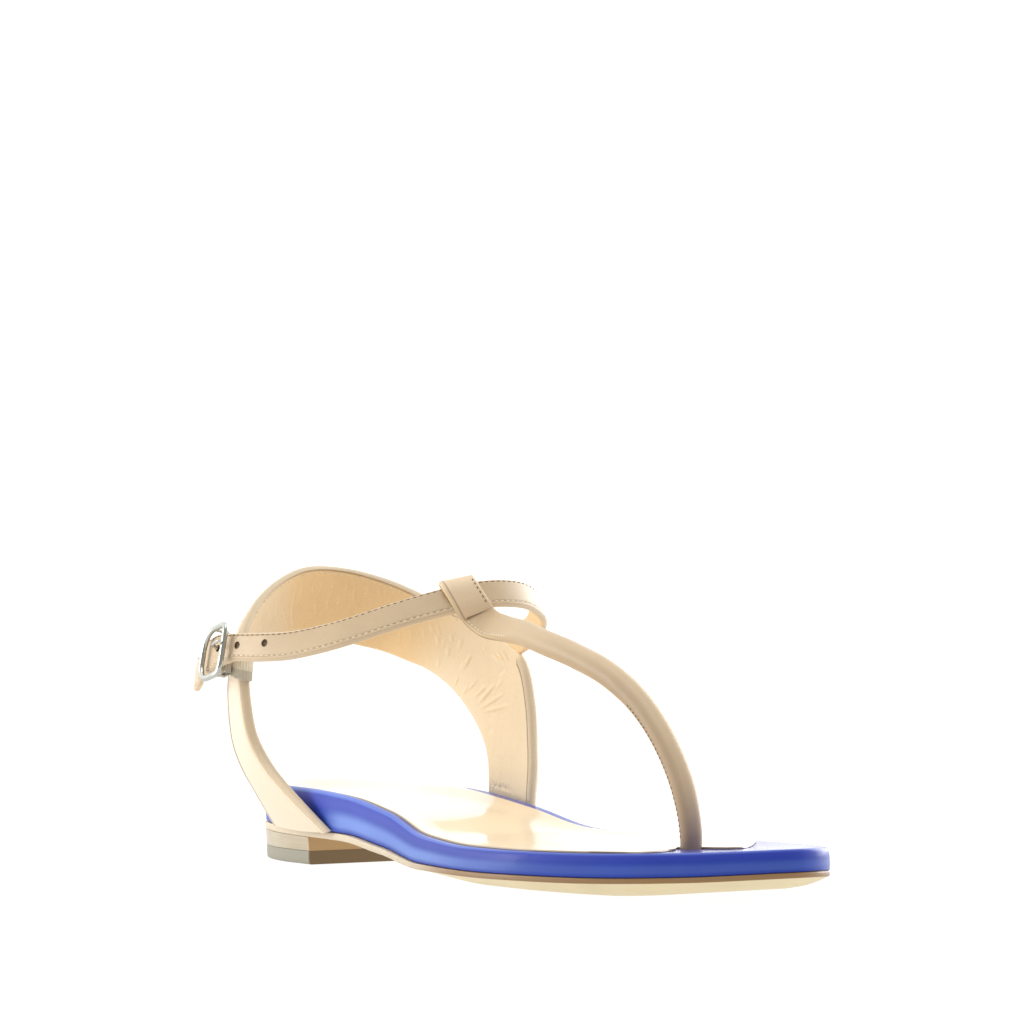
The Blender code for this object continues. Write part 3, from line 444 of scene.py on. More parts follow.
# Angle from which an edge is sharp, and the size of the slivers that a cut leaves
HARD_EDGE = radians(50.0)
CUT_MERGE = 0.000004

# Stretches along the pieces, from their first ends, over which colours change
# Stretch over which the painted light on the ankle strap's first end fades
PAINTED_LIGHT_END = (0.046, 0.064)
OUTER_STRAP_END = (0.060, 0.085)
FOOT_SHADE = (0.006, 0.040)
GOLDEN_START = (0.082, 0.098)
GOLDEN_END = (0.132, 0.156)
FLAP_START = (0.1435, 0.1450)
FLAT_START = (0.112, 0.128)
# Stretch over which the sock's painted light fades
SOCK_PAINTED_LIGHT_END = (0.03, 0.10)
EDGE_TURNS_BROWN = (0.112, 0.150)
# Places of the grey patch along the lining, and of lines in from the edges of the outer strap
GREY_PATCH_ALONG = 0.2098
GREY_PATCH_HALF = 0.0016
BEAD_EDGE = (0.0017, 0.0023)
REAR_LINE = 0.0022

# Camera of the picture: turn, height, distance, and the place on the last at a known point
VIEW_TURN = radians(34.739)
VIEW_RISE = radians(4.026)
VIEW_DISTANCE = 1.100
VIEW_SCALE = 3525.0
VIEW_POINT = (520.897, 875.422)
PICTURE = 1024
SENSOR = 36.0

# Studio floor: half its side, its two greys and its glow
FLOOR_REACH = 6.0
FLOOR_LIGHT = (0.07, 0.07, 0.07)
FLOOR_DARK = (0.06, 0.06, 0.06)
FLOOR_GLOW = 0.94

# Studio light: strengths all round and on the picture's side, and where one turns into the other
LIGHT_FULL = 1.45
LIGHT_DIM = 0.42
LIGHT_BEHIND = 0.0
LIGHT_FRONT = 0.75
Softbox = namedtuple("Softbox", "name place aim size spread power")
SOFTBOXES = (
    Softbox("lamp_left", (-0.22, 0.22, 0.07), (-0.033, 0.09, 0.040), 0.14, 60.0, 0.065),
    Softbox("lamp_right", (0.55, 0.10, 0.22), (0.0, 0.0, 0.04), 0.40, 180.0, 2.1),
    Softbox("lamp_top", (-0.15, -0.12, 0.55), (0.0, 0.0, 0.04), 0.35, 180.0, 1.0),
)


def linear(red, green, blue):
    """Scene-linear colour of a swatch given in steps of 0 to 255."""
    steps = np.array((red, green, blue)) / 255
    bright = ((steps + 0.055) / 1.055) ** 2.4
    return tuple(np.where(steps <= 0.04045, steps / 12.92, bright).tolist())


def at(across, along, up):
    """World places of points on the last."""
    across, along, up = np.broadcast_arrays(across, along, up)
    return np.stack((across - MIDDLE_ACROSS, MIDDLE_ALONG - along, up), -1)


def unit(vectors):
    """Vectors brought to length one."""
    return vectors / np.linalg.norm(vectors, axis=-1, keepdims=True)


def soft_step(value, low, high):
    """Smooth rise from 0 at low to 1 at high."""
    t = np.clip((value - low) / (high - low), 0, 1)
    return t * t * (3 - 2 * t)


def bell(value, middle, width):
    """Soft ridge of height one round a middle."""
    return np.exp(-((value - middle) / width) ** 2)


def press(line, value, middle):
    """Height of a line pressed into a strap or raised on it."""
    return line.height * bell(value, middle, line.width)


def curve_through(xs, ys):
    """Smooth function through a table's points that never overshoots them."""
    xs = np.asarray(xs, float)
    ys = np.asarray(ys, float)
    steps = np.diff(xs)
    slopes = np.diff(ys) / steps
    tangents = np.zeros(len(xs))
    tangents[0] = slopes[0]
    tangents[-1] = slopes[-1]
    for i in range(1, len(xs) - 1):
        if slopes[i - 1] * slopes[i] > 0:
            before = 2 * steps[i] + steps[i - 1]
            after = steps[i] + 2 * steps[i - 1]
            tangents[i] = (before + after) / (before / slopes[i - 1] + after / slopes[i])

    def value(x):
        i = np.clip(np.searchsorted(xs, x) - 1, 0, len(steps) - 1)
        t = np.clip((x - xs[i]) / steps[i], 0.0, 1.0)
        rise = ys[i] * (1 + 2 * t) * (1 - t) ** 2 + ys[i + 1] * t * t * (3 - 2 * t)
        lean = tangents[i] * t * (1 - t) ** 2 - tangents[i + 1] * t * t * (1 - t)
        return rise + steps[i] * lean

    return value


SOLE_CURVES = {
    name: curve_through([row.share for row in SOLE], [getattr(row, name) for row in SOLE])
    for name in Sole._fields[1:]
}


def sole(name, along):
    """A column of the sole's table at distances from the heel."""
    return SOLE_CURVES[name](np.asarray(along) / LENGTH)


def end_round(distance, reach, square):
    """Share of the full width at distances from a rounded end."""
    inner = np.clip(1.0 - distance / reach, 0.0, 1.0)
    return (1.0 - inner ** square) ** (1.0 / square)


def sole_edge(turns):
    """Places (across, along) on the sole's outline: 0 heel, 0 to pi outer side, pi toe."""
    along = LENGTH * (1 - np.cos(turns)) / 2
    half = sole("half", along) * end_round(along, HEEL_ROUND, HEEL_SQUARE)
    half = half * end_round(LENGTH - along, TOE_ROUND, TOE_SQUARE)
    side = np.where(np.mod(turns, 2 * pi) < pi, -1, 1)
    return np.stack((sole("centre", along) + side * half, along), -1)


def inward(turns):
    """Unit directions from the outline towards the sole's middle."""
    step = 1e-3
    run = unit(sole_edge(turns + step) - sole_edge(turns - step))
    return np.stack((run[:, 1], -run[:, 0]), -1)


def sole_turns():
    """Stations round the outline, closer at heel and toe."""
    return pi * np.arange(2 * SOLE_SIDE) / SOLE_SIDE


def sole_loop(turns, inset, height):
    """World points of a loop inside the outline; inset and height are functions of along."""
    edge = sole_edge(turns)
    depth = np.broadcast_to(inset(edge[:, 1]), len(turns))
    place = edge + inward(turns) * depth[:, None]
    return at(place[:, 0], place[:, 1], height(place[:, 1]))


def wall_height(along):
    """Height of the footbed's side."""
    return sole("rim", along) - sole("seam", along) - GAP


def dished(along, inset):
    """Height of the footbed's top at a distance in from its side."""
    knots = np.array((0.0, *BED_LOOPS)) / BED_LOOPS[-1]
    fall = np.interp(inset / BED_LOOPS[-1], knots, knots * knots * (3 - 2 * knots))
    return sole("rim", along) - sole("dish", along) * fall


def bed_top(across, along):
    """Height of the footbed's top at places on the last."""
    turns = np.linspace(0, 2 * pi, 500, endpoint=False)
    edge = sole_edge(turns)
    edge = edge + inward(turns) * sole("ledge", edge[:, 1])[:, None]
    inset = np.full(np.shape(across), np.inf)
    for x, y in edge:
        inset = np.minimum(inset, np.hypot(across - x, along - y))
    return dished(along, inset)


def smooth_rows(table, spans):
    """Values of a table's columns along a smooth curve through its rows."""
    rows = np.array(table, float)
    chords = np.linalg.norm(np.diff(rows[:, :3], axis=0), axis=1)[:, None]
    slopes = np.diff(rows, axis=0) / chords
    tangents = np.vstack((slopes[:1], slopes, slopes[-1:]))
    weights = np.concatenate((chords[:1], chords, chords[-1:]))
    share = weights[1:] / (weights[1:] + weights[:-1])
    tangents = tangents[:-1] * share + tangents[1:] * (1 - share)
    values = []
    for i, chord in enumerate(chords):
        t = (np.arange(spans) / spans)[:, None]
        ends = rows[i] * (1 + 2 * t) * (1 - t) ** 2 + rows[i + 1] * t * t * (3 - 2 * t)
        lean = tangents[i] * t * (1 - t) ** 2 - tangents[i + 1] * t * t * (1 - t)
        values.append(ends + chord * lean)
    return np.vstack(values + [rows[-1:]])


def headings(points):
    """Unit direction of a path at each of its points."""
    padded = np.concatenate((points[:1], points, points[-1:]))
    return unit(padded[2:] - padded[:-2])


def lengths(points):
    """Distance run along a path at each of its points."""
    return np.concatenate(([0.0], np.cumsum(np.linalg.norm(np.diff(points, axis=0), axis=1))))


def path_share(points):
    """Share of a path's length that is run at each of its points."""
    run = lengths(points)
    return run / run[-1]


def sample(places, along, rows):
    """Rows of values read at places along a path."""
    return np.stack([np.interp(places, along, column) for column in rows.T], -1)


Strip = namedtuple("Strip", "centre wide out run along width wall square bow blunt")


def band_strip():
    """Sections of the heel band and its two side straps."""
    rows = smooth_rows(SLING, BAND_SPANS)
    upper = at(*rows[:, 0:3].T)
    lower = at(*rows[:, 3:6].T)
    centre = (upper + lower) / 2
    run = headings(centre)
    wide = unit(upper - lower)
    out = unit(np.cross(wide, run))
    width = np.linalg.norm(upper - lower, axis=1)
    square = np.full(len(rows), STRIP_SQUARE)
    bow, wall = rows[:, 6:8].T
    return Strip(centre, wide, out, run, lengths(centre), width, wall, square, bow, STRIP_BLUNT)


def ankle_strip():
    """Sections of the ankle strap."""
    rows = smooth_rows(ANKLE_STRAP, STRAP_SPANS)
    centre = at(*rows[:, 0:3].T)
    run = headings(centre)
    level = unit(np.cross(UP, run))
    lean = np.radians(rows[:, 3])[:, None]
    wide = UP * np.cos(lean) - level * np.sin(lean)
    wide = unit(wide - run * np.sum(wide * run, axis=1)[:, None])
    flat = np.full(len(rows), STRIP_SQUARE)
    out = np.cross(wide, run)
    width, wall = rows[:, 4:6].T
    return Strip(centre, wide, out, run, lengths(centre), width, wall, flat, flat * 0, STRIP_BLUNT)


def tee_strip():
    """Sections of the rolled T-strap and the loop at its upper end."""
    rows = smooth_rows(T_STRAP, TEE_SPANS)
    centre = at(*rows[:, 0:3].T)
    run = headings(centre)
    wide = unit(np.stack((np.ones(len(rows)), -rows[:, 3], rows[:, 4]), -1))
    level = 1 - soft_step(rows[:, 7:8], 3.3, STRIP_SQUARE)
    wide = unit(wide - level * run * np.sum(wide * run, axis=1)[:, None])
    out = unit(np.cross(wide, run))
    along = lengths(centre)
    width, wall, square = rows[:, 5:8].T
    return Strip(centre, wide, out, run, along, width, wall, square, along * 0, TEE_BLUNT)


def edge_columns(strip, margins, middle):
    """Places across a strip, close together near both edges."""
    half = strip.width[:, None] / 2
    scale = np.minimum(1.0, half / (1.3 * margins[-1]))
    near = half - margins * scale
    shares = np.linspace(1, -1, middle + 2)[1:-1]
    return np.hstack((near, near[:, -1:] * shares, -near[:, ::-1]))


def round_columns(strip, count):
    """Places across a strip at even turns round its section."""
    swing = np.cos(np.linspace(0, pi, count))
    power = np.abs(swing) ** (2 / strip.square[:, None])
    return strip.width[:, None] / 2 * power * np.sign(swing)


Sheet = namedtuple("Sheet", "points values")


def section(strip, across):
    """Share of a strip's full thickness at places across it: an oval tube or a blunt strip."""
    half = strip.width[:, None] / 2
    share = np.minimum(np.abs(across) / half, 1.0)
    square = strip.square[:, None]
    oval = (1 - share ** square) ** (1 / square)
    depth = np.clip((1 - share) * half / (strip.blunt * strip.wall[:, None]), 0, 1)
    bar = np.sqrt(1 - (1 - depth) ** 2)
    return oval + (bar - oval) * soft_step(square, 2.6, 3.8)


def face_points(strip, across, side, relief):
    """Points of a strip's outer (1) or inner (-1) face, raised by a relief."""
    half = strip.width[:, None] / 2
    share = np.minimum(np.abs(across) / half, 1.0)
    full = section(strip, across)
    along = np.broadcast_to(strip.along[:, None], across.shape)
    rise = strip.wall[:, None] / 2 * full
    rise = rise + relief(side, along, across, half - across, half + across) * full
    lift = side * rise + strip.bow[:, None] * (1 - share ** 2)
    points = strip.centre[:, None] + strip.wide[:, None] * across[..., None]
    points = points + strip.out[:, None] * lift[..., None]
    inside = np.where(full > 0.02, side, 0.0)
    values = {"along": along, "up": half - across, "low": half + across, "face": inside}
    return points, values


def strip_sheet(strip, across, relief, lining=None):
    """Grid of points round a strip, section by section; its lining may have places of its own."""
    lining = across if lining is None else lining
    outer, outer_values = face_points(strip, across, 1, relief)
    inner, inner_values = face_points(strip, lining[:, -2:0:-1], -1, relief)
    values = {name: np.hstack((outer_values[name], inner_values[name])) for name in outer_values}
    return Sheet(np.hstack((outer, inner)), values)


def grid_faces(rows, columns, start=0):
    """Quads between the rows of a grid that closes round its columns."""
    r = np.arange(rows - 1)[:, None] * columns + start
    c = np.arange(columns)[None, :]
    d = (c + 1) % columns
    return np.stack((r + c, r + d, r + columns + d, r + columns + c), -1).reshape(-1, 4).tolist()


def closed_strip(sheet):
    """Points, faces and values of a strip with both ends closed."""
    rows, columns = sheet.points.shape[:2]
    faces = grid_faces(rows, columns)
    points = sheet.points.reshape(-1, 3)
    ends = sheet.points[[0, -1]].mean(axis=1)
    count = len(points)
    for tip, first in ((count, 0), (count + 1, (rows - 1) * columns)):
        for k in range(columns):
            faces.append((tip, first + k, first + (k + 1) % columns))
    values = {}
    for name, value in sheet.values.items():
        values[name] = np.concatenate((value.ravel(), value[0, :1], value[-1, :1]))
    return np.vstack((points, ends)), faces, values


def closed_layer(loops, values, pairs):
    """Points, faces and values of a layer of loops, with rungs between their paired points.

    A pair next to each other, as at the straight heel breast, gets no rung of its own.
    """
    loops = np.asarray(loops)
    rows, columns = loops.shape[:2]
    points = [loops.reshape(-1, 3)]
    faces = grid_faces(rows, columns)
    values = {name: [np.asarray(value, float).ravel()] for name, value in values.items()}
    count = rows * columns
    shares = (np.arange(1, CAP_RUNGS) / CAP_RUNGS)[:, None]
    for row in (0, rows - 1):
        first = row * columns
        chains = []
        for left, right in pairs:
            if left == right:
                chains.append([first + left] * (CAP_RUNGS + 1))
                continue
            if right - left == columns - 1:
                chains.append([first + left, first + right])
                continue
            points.append(loops[row, left] * (1 - shares) + loops[row, right] * shares)
            chains.append([first + left, *range(count, count + CAP_RUNGS - 1), first + right])
            count += CAP_RUNGS - 1
            for value in values.values():
                value.append(np.full(CAP_RUNGS - 1, value[0][first + left]))
        for near, far in zip(chains, chains[1:]):
            if len(near) == 2:
                half = CAP_RUNGS // 2
                faces.append((near[0], far[half], near[1]))
                faces += [(near[j >= half], far[j], far[j + 1]) for j in range(CAP_RUNGS)]
                continue
            for j in range(CAP_RUNGS):
                corners = (near[j], far[j], far[j + 1], near[j + 1])
                faces.append(tuple(dict.fromkeys(corners)))
    values = {name: np.concatenate(value) for name, value in values.items()}
    return np.vstack(points), faces, values


def tube_sheet(path, radius, sides=16, closed=False, flat=1.0, flat_way=None):
    """Points and faces of a round wire along a path; radius may change along it."""
    path = np.asarray(path, float)
    count = len(path)
    if closed:
        run = unit(np.roll(path, -1, axis=0) - np.roll(path, 1, axis=0))
    else:
        run = headings(path)
    way = np.asarray(flat_way if flat_way is not None else UP, float)
    first = unit(way - run * (run @ way)[:, None])
    second = np.cross(run, first)
    turns = np.linspace(0, 2 * pi, sides, endpoint=False)
    radius = np.broadcast_to(radius, count)[:, None, None]
    ring = first[:, None] * np.cos(turns)[:, None] * flat + second[:, None] * np.sin(turns)[:, None]
    points = (path[:, None] + ring * radius).reshape(-1, 3)
    faces = grid_faces(count, sides)
    if closed:
        last = (count - 1) * sides
        faces += [(last + k, last + (k + 1) % sides, (k + 1) % sides, k) for k in range(sides)]
        return points, faces
    for tip, start in ((len(points), 0), (len(points) + 1, (count - 1) * sides)):
        faces += [(tip, start + k, start + (k + 1) % sides) for k in range(sides)]
    return np.vstack((points, path[:1], path[-1:])), faces


def seam_path(strip, side, distance, upper, relief, first, last):
    """Places and normals of a seam a set distance in from one edge of a strip."""
    keep = (strip.along >= first) & (strip.along <= last)
    half = strip.width / 2
    across = ((half - distance) if upper else (distance - half))[:, None]
    points = face_points(strip, across, side, relief)[0]
    return points[keep, 0], strip.out[keep] * side


def stitch_sheet(path, normals, pitch, length, radius, sink):
    """Points and faces of a row of stitches laid along a seam."""
    along = lengths(path)
    middles = np.arange(pitch / 2, along[-1] - length / 2, pitch)
    place = sample(middles, along, path)
    run = unit(sample(middles, along, headings(path)))
    lift = sample(middles, along, normals)
    lift = unit(lift - run * np.sum(lift * run, axis=1)[:, None])
    side = np.cross(run, lift)
    shares = np.array((-1.0, -0.92, -0.6, 0.0, 0.6, 0.92, 1.0))
    girth = np.array((0.15, 0.55, 0.92, 1.0, 0.92, 0.55, 0.15)) * radius
    rise = radius * 0.55 - sink * shares ** 2
    turns = np.linspace(0, 2 * pi, STITCH_SIDES, endpoint=False)
    axis = run[:, None, None] * (shares * length / 2)[:, None, None]
    ring = lift[:, None, None] * (rise[:, None] + girth[:, None] * np.sin(turns))[..., None]
    ring = ring + side[:, None, None] * (girth[:, None] * np.cos(turns))[..., None]
    points = place[:, None, None] + axis + ring
    faces = []
    size = len(shares) * len(turns)
    caps = [tuple(range(STITCH_SIDES)), tuple(range(size - STITCH_SIDES, size))]
    one = grid_faces(len(shares), len(turns)) + caps
    for k in range(len(middles)):
        faces += [tuple(corner + k * size for corner in face) for face in one]
    return points.reshape(-1, 3), faces


def mesh_object(name, points, faces, finish=None, values=None):
    """Object with its faces turned outward; its mesh may carry values for a finish."""
    mesh = bpy.data.meshes.new(name)
    mesh.from_pydata(np.asarray(points).tolist(), [], faces)
    for key, value in (values or {}).items():
        layer = mesh.attributes.new(key, "FLOAT", "POINT")
        layer.data.foreach_set("value", np.asarray(value, np.float32))
    bm = bmesh.new()
    bm.from_mesh(mesh)
    bmesh.ops.recalc_face_normals(bm, faces=bm.faces)
    bm.to_mesh(mesh)
    bm.free()
    if finish:
        mesh.materials.append(finish)
    made = bpy.data.objects.new(name, mesh)
    bpy.context.scene.collection.objects.link(made)
    return made


def make_piece(name, points, faces, finish, node, values=None):
    """Piece of the sandal that rides on the frame and stands for a part's node."""
    piece = mesh_object(name, points, faces, finish, values)
    piece.data.shade_smooth()
    piece.data.set_sharp_from_angle(angle=HARD_EDGE)
    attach(piece, "root")
    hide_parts(node)
    return piece


def cut(piece, points, faces, inside=None, fill=None):
    """Takes a closed form out of a piece; its walls may get a finish, its rim the fill's values.

    Large faces are split and slivers merged, so that the mesh stays closed when it is exported.
    """
    cutter = mesh_object("cutter", points, faces, inside)
    mesh = cutter.data
    modifier = piece.modifiers.new("cut", "BOOLEAN")
    modifier.operation = "DIFFERENCE"
    modifier.solver = "EXACT"
    modifier.object = cutter
    modifier.material_mode = "TRANSFER" if inside else "INDEX"
    bpy.context.view_layer.update()
    drawn = piece.evaluated_get(bpy.context.evaluated_depsgraph_get())
    made = bpy.data.meshes.new_from_object(drawn)
    piece.modifiers.clear()
    before = piece.data
    piece.data = made
    made.name = piece.name
    bm = bmesh.new()
    bm.from_mesh(made)
    bmesh.ops.triangulate(bm, faces=[face for face in bm.faces if len(face.verts) > 4])
    bmesh.ops.dissolve_degenerate(bm, dist=CUT_MERGE, edges=bm.edges)
    bm.to_mesh(made)
    bm.free()
    made.set_sharp_from_angle(angle=HARD_EDGE)
    if fill:
        values = {}
        for key in fill:
            values[key] = np.zeros(len(made.vertices), np.float32)
            made.attributes[key].data.foreach_get("value", values[key])
        bare = sum(np.abs(value) for value in values.values()) < 1e-7
        for key, value in values.items():
            value[bare] = fill[key]
            made.attributes[key].data.foreach_set("value", value)
    bpy.data.objects.remove(cutter)
    bpy.data.meshes.remove(mesh)
    bpy.data.meshes.remove(before)


class Shade:
    """Socket of a finish that expressions on values are written with."""

    def __init__(self, finish, socket):
        self.finish = finish
        self.socket = socket

    def __add__(self, other):
        return self.finish.maths("ADD", self, other)

    def __sub__(self, other):
        return self.finish.maths("SUBTRACT", self, other)

    def __rsub__(self, other):
        return self.finish.maths("SUBTRACT", other, self)

    def __mul__(self, other):
        return self.finish.maths("MULTIPLY", self, other)

    def __truediv__(self, other):
        return self.finish.maths("DIVIDE", self, other)

    def __pow__(self, other):
        return self.finish.maths("POWER", self, other)

    def __abs__(self):
        return self.finish.maths("ABSOLUTE", self, 0.0)

    __radd__ = __add__
    __rmul__ = __mul__


class Nodes:
    """Node tree that is filled by expressions."""

    def __init__(self, tree):
        self.tree = tree

    def feed(self, socket, value):
        """Gives a socket a link or a plain value."""
        if isinstance(value, Shade):
            self.tree.links.new(value.socket, socket)
        elif socket.type == "RGBA":
            socket.default_value = (*value[:3], 1.0)
        else:
            socket.default_value = value

    def node(self, kind, settings=None, inputs=None, output=0):
        """Any node: its settings first, then the values or links of its sockets."""
        node = self.tree.nodes.new(kind)
        for key, value in (settings or {}).items():
            if key == "stops":
                elements = node.color_ramp.elements
                elements[0].position, elements[0].color = value[0][0], (*value[0][1], 1.0)
                elements[1].position, elements[1].color = value[-1][0], (*value[-1][1], 1.0)
                for spot, colour in value[1:-1]:
                    elements.new(spot).color = (*colour, 1.0)
            else:
                setattr(node, key, value)
        for key, value in (inputs or {}).items():
            self.feed(node.inputs[key], value)
        return Shade(self, node.outputs[output])

    def maths(self, operation, first, second):
        """Sum, product or other operation on two values."""
        return self.node("ShaderNodeMath", {"operation": operation}, {0: first, 1: second})

    def mix(self, factor, first, second):
        """Colour between two colours."""
        inputs = {0: factor, 6: first, 7: second}
        return self.node("ShaderNodeMix", {"data_type": "RGBA"}, inputs, 2)

    def step(self, value, low, high):
        """Smooth rise of a value from low to high."""
        settings = {"interpolation_type": "SMOOTHSTEP"}
        inputs = {"Value": value, "From Min": low, "From Max": high}
        return self.node("ShaderNodeMapRange", settings, inputs)

    def fall(self, value, low, high):
        """Smooth fall of a value from low to high."""
        return 1.0 - self.step(value, low, high)


class Finish(Nodes):
    """Principled material of a piece, and the nodes that vary it over the surface."""

    def __init__(self, name, **constants):
        self.material = bpy.data.materials.new(name)
        self.material.use_nodes = True
        super().__init__(self.material.node_tree)
        self.shader = self.tree.nodes["Principled BSDF"]
        for socket, value in constants.items():
            self.set(socket.replace("_", " ").title().replace("Ior", "IOR"), value)
        self.place = self.node("ShaderNodeTexCoord", output="Object")

    def line(self, value, middle, half):
        """Soft line where a value is near a middle."""
        return self.fall(abs(value - middle), 0.25 * half, half)

    def noise(self, scale, detail=3.0, rough=0.55, place=None):
        """Soft mottling between 0 and 1."""
        inputs = {
            "Vector": place or self.place, "Scale": scale, "Detail": detail, "Roughness": rough,
        }
        return self.node("ShaderNodeTexNoise", None, inputs)

    def cells(self, scale, place=None):
        """Distance to the border of irregular cells, as in leather grain."""
        settings = {"feature": "DISTANCE_TO_EDGE"}
        inputs = {"Vector": place or self.place, "Scale": scale}
        return self.node("ShaderNodeTexVoronoi", settings, inputs, "Distance")

    def stretched(self, x, y, z):
        """Coordinates drawn out by a factor for each axis."""
        return self.node(
            "ShaderNodeVectorMath", {"operation": "MULTIPLY"}, {0: self.place, 1: (x, y, z)}, 0
        )

    def on(self, name):
        """Value that a piece's mesh carries at each point."""
        return self.node("ShaderNodeAttribute", {"attribute_name": name}, None, "Fac")

    def set(self, socket, value):
        """Value or link of the shader's own socket."""
        self.feed(self.shader.inputs[socket], value)

    def bump(self, height, distance, strength=1.0):
        """Relief too fine for the mesh."""
        inputs = {"Height": height, "Distance": distance, "Strength": strength}
        self.set("Normal", self.node("ShaderNodeBump", None, inputs, "Normal"))

    def mottled(self, colour, other, scale):
        """Two colours of a hide in soft patches."""
        return self.mix(self.step(self.noise(scale, 4.0), 0.35, 0.70), colour, other)

    def patchy(self, colour, factor, scale):
        """Colour of a hide with soft patches of another tone."""
        return self.mottled(colour, tone(colour, factor), scale)

    def gloss(self, least, spread, scale):
        """Roughness that varies in small spots."""
        self.set("Roughness", least + spread * self.noise(scale, 2.0))


def blend(first, second, share):
    """Colour part of the way from one to another."""
    return tuple(a + (b - a) * share for a, b in zip(first, second))


def tone(colour, factor):
    """Lighter or darker form of a colour."""
    return tuple(min(1.0, part * factor) for part in colour[:3])


def leather_grain(finish, scale=1500.0, depth=4e-5, strength=0.6):
    """Fine pebbled grain with pores."""
    pebbles = finish.step(finish.cells(scale), 0.0, 0.22)
    pores = finish.noise(2.2 * scale, 2.0)
    folds = finish.noise(0.16 * scale, 3.0)
    finish.bump(pebbles * 0.5 + pores * 0.5 + folds * 1.5, depth, strength)
    return pebbles


def inner_face(finish):
    """1 on the inner face of a strap, 0 on its outer face."""
    return finish.fall(finish.on("face"), -0.15, 0.15)


def strap_finish(name, colours, sizes):
    """Satin strap leather with a lining on its inner face and coloured edges, painted light near its first
    end and painted shade along its seams.
    """
    finish = Finish(name, roughness=0.45, coat_roughness=0.3, ior=1.5)
    hide = finish.patchy(colours.strap, 0.93, 60.0)
    skin = finish.patchy(colours.lining, 0.92, 90.0)
    pebbles = leather_grain(finish)
    # Painted light: the ankle strap's first stretch, round the inner side, is whitened where strong light
    # falls on it
    painted_light_mask = 0.42 * finish.fall(finish.on("along"), *PAINTED_LIGHT_END)
    hide = finish.mix(painted_light_mask, hide, colours.strap_painted_light)
    inner = inner_face(finish)
    colour = finish.mix(inner, hide, skin)
    nearest = finish.maths("MINIMUM", finish.on("up"), finish.on("low"))
    edge = finish.fall(nearest, 0.00020, 0.00070)
    colour = finish.mix(edge * 0.5, colour, colours.strap_light)
    # Painted shade along the two pressed seam lines on the outer face
    under = finish.line(finish.on("up"), sizes.top_seam, 0.00035)
    under = under + finish.line(finish.on("low"), sizes.low_seam, 0.00045)
    colour = finish.mix(under * 0.4 * (1.0 - inner), colour, colours.strap_edge)
    finish.set("Base Color", finish.mix(0.08 * (1.0 - pebbles), colour, colours.strap_edge))
    finish.gloss(0.42, 0.14, 900.0)
    finish.set("Coat Weight", 0.12 * (1.0 - inner))
    return finish.material


def band_finish(colours, sizes):
    """Band leather outside, wrinkled lining inside and a rolled rim along the upper edge, with painted
    light on the outer strap and the lining's sides, and painted shade in grooves and creases.
    """
    finish = Finish("band_leather_and_lining", roughness=0.45, coat_roughness=0.3, ior=1.5)
    up = finish.on("up")
    along = finish.on("along")
    # Painted light on the outer strap: its outer face is lightened towards near-white, less at its foot,
    # and the whole hide a little more towards that strap
    pale = blend(colours.strap, colours.strap_painted_light, 0.55)
    fore = finish.fall(along, *OUTER_STRAP_END)
    outer_strap_painted_light = fore * finish.step(up, *BEAD_EDGE) * (0.5 + 0.5 * finish.step(along, *FOOT_SHADE))
    hide = finish.patchy(colours.strap, 0.94, 60.0)
    hide = finish.mix(0.35 + 0.25 * fore, hide, colours.strap_light)
    hide = finish.mix(outer_strap_painted_light, hide, pale)
    flecks = finish.noise(1.0, 4.0, 0.6, finish.stretched(420.0, 420.0, 60.0))
    # Painted light: the lining is paler on the two sides, where more light falls, and golden at the back
    golden = finish.step(along, *GOLDEN_START) * finish.fall(along, *GOLDEN_END)
    skin = finish.mix(golden, colours.lining_painted_light, colours.lining)
    skin = finish.mix(0.16 * finish.step(flecks, 0.45, 0.75), skin, tone(colours.lining, 0.80))
    inner = inner_face(finish)
    fold = finish.on("fold")
    # Painted shade in the creases and painted highlight on the banks beside them
    skin = finish.mix(0.17 * finish.step(fold, 0.10, 1.1), skin, tone(colours.lining, 0.62))
    bank_painted_highlight = 0.55 * finish.step(0.0 - fold, 0.05, 0.60)
    skin = finish.mix(bank_painted_highlight, skin, tone(colours.lining_painted_light, 1.15))
    # Speckled grey patch painted at the foot of the lining, near the inner strap's base
    specks = finish.step(finish.noise(1100.0, 5.0, 0.7), 0.46, 0.58)
    grey_patch = specks * finish.line(along, GREY_PATCH_ALONG, GREY_PATCH_HALF)
    grey_patch = grey_patch * finish.fall(finish.on("low"), 0.006, 0.013)
    skin = finish.mix(0.6 * grey_patch, skin, colours.grey_patch)
    bare = finish.step(along, *JOIN_START) * finish.fall(along, *JOIN_END)
    past = finish.step(along, *JOIN_END)
    reach = up - STRAP_BEAD * (finish.fall(along, *LATERAL_END) + past)
    reach = reach - 0.0006 * past
    rim = finish.fall(reach, sizes.rim - 0.00015, sizes.rim + 0.00010) * (1.0 - bare)
    groove = finish.line(reach, sizes.rim + 0.0001, 0.00045) * (1.0 - bare)
    colour = finish.mix(inner, hide, finish.mix(rim, skin, colours.rim))
    # Painted shade in the groove beside the rolled rim, stronger on the outer strap's front edge and on the
    # inner strap
    dark = groove * (0.25 + 0.45 * fore * (1.0 - inner) + inner * (0.1 + 0.4 * past))
    colour = finish.mix(dark, colour, tone(colours.strap_edge, 0.75))
    # Darker line in from the outer strap's rear edge and along the band's lower edge: partly the edge's
    # paint, partly painted shade where the face turns away
    rear = finish.line(finish.on("low"), REAR_LINE, 0.0006) * fore
    rear = (rear + 0.4 - 0.4 * finish.step(finish.on("low"), 0.0004, 0.0009)) * (1.0 - inner)
    colour = finish.mix(0.9 * rear, colour, tone(colours.strap_edge, 0.35))
    pebbles = leather_grain(finish, 1400.0)
    finish.set("Base Color", finish.mix(0.08 * (1.0 - pebbles), colour, colours.strap_edge))
    finish.set("Roughness", 0.40 + 0.16 * finish.noise(900.0, 2.0) + 0.08 * inner)
    finish.set("Coat Weight", 0.5 * (1.0 - inner) * (1.0 - rear))
    return finish.material


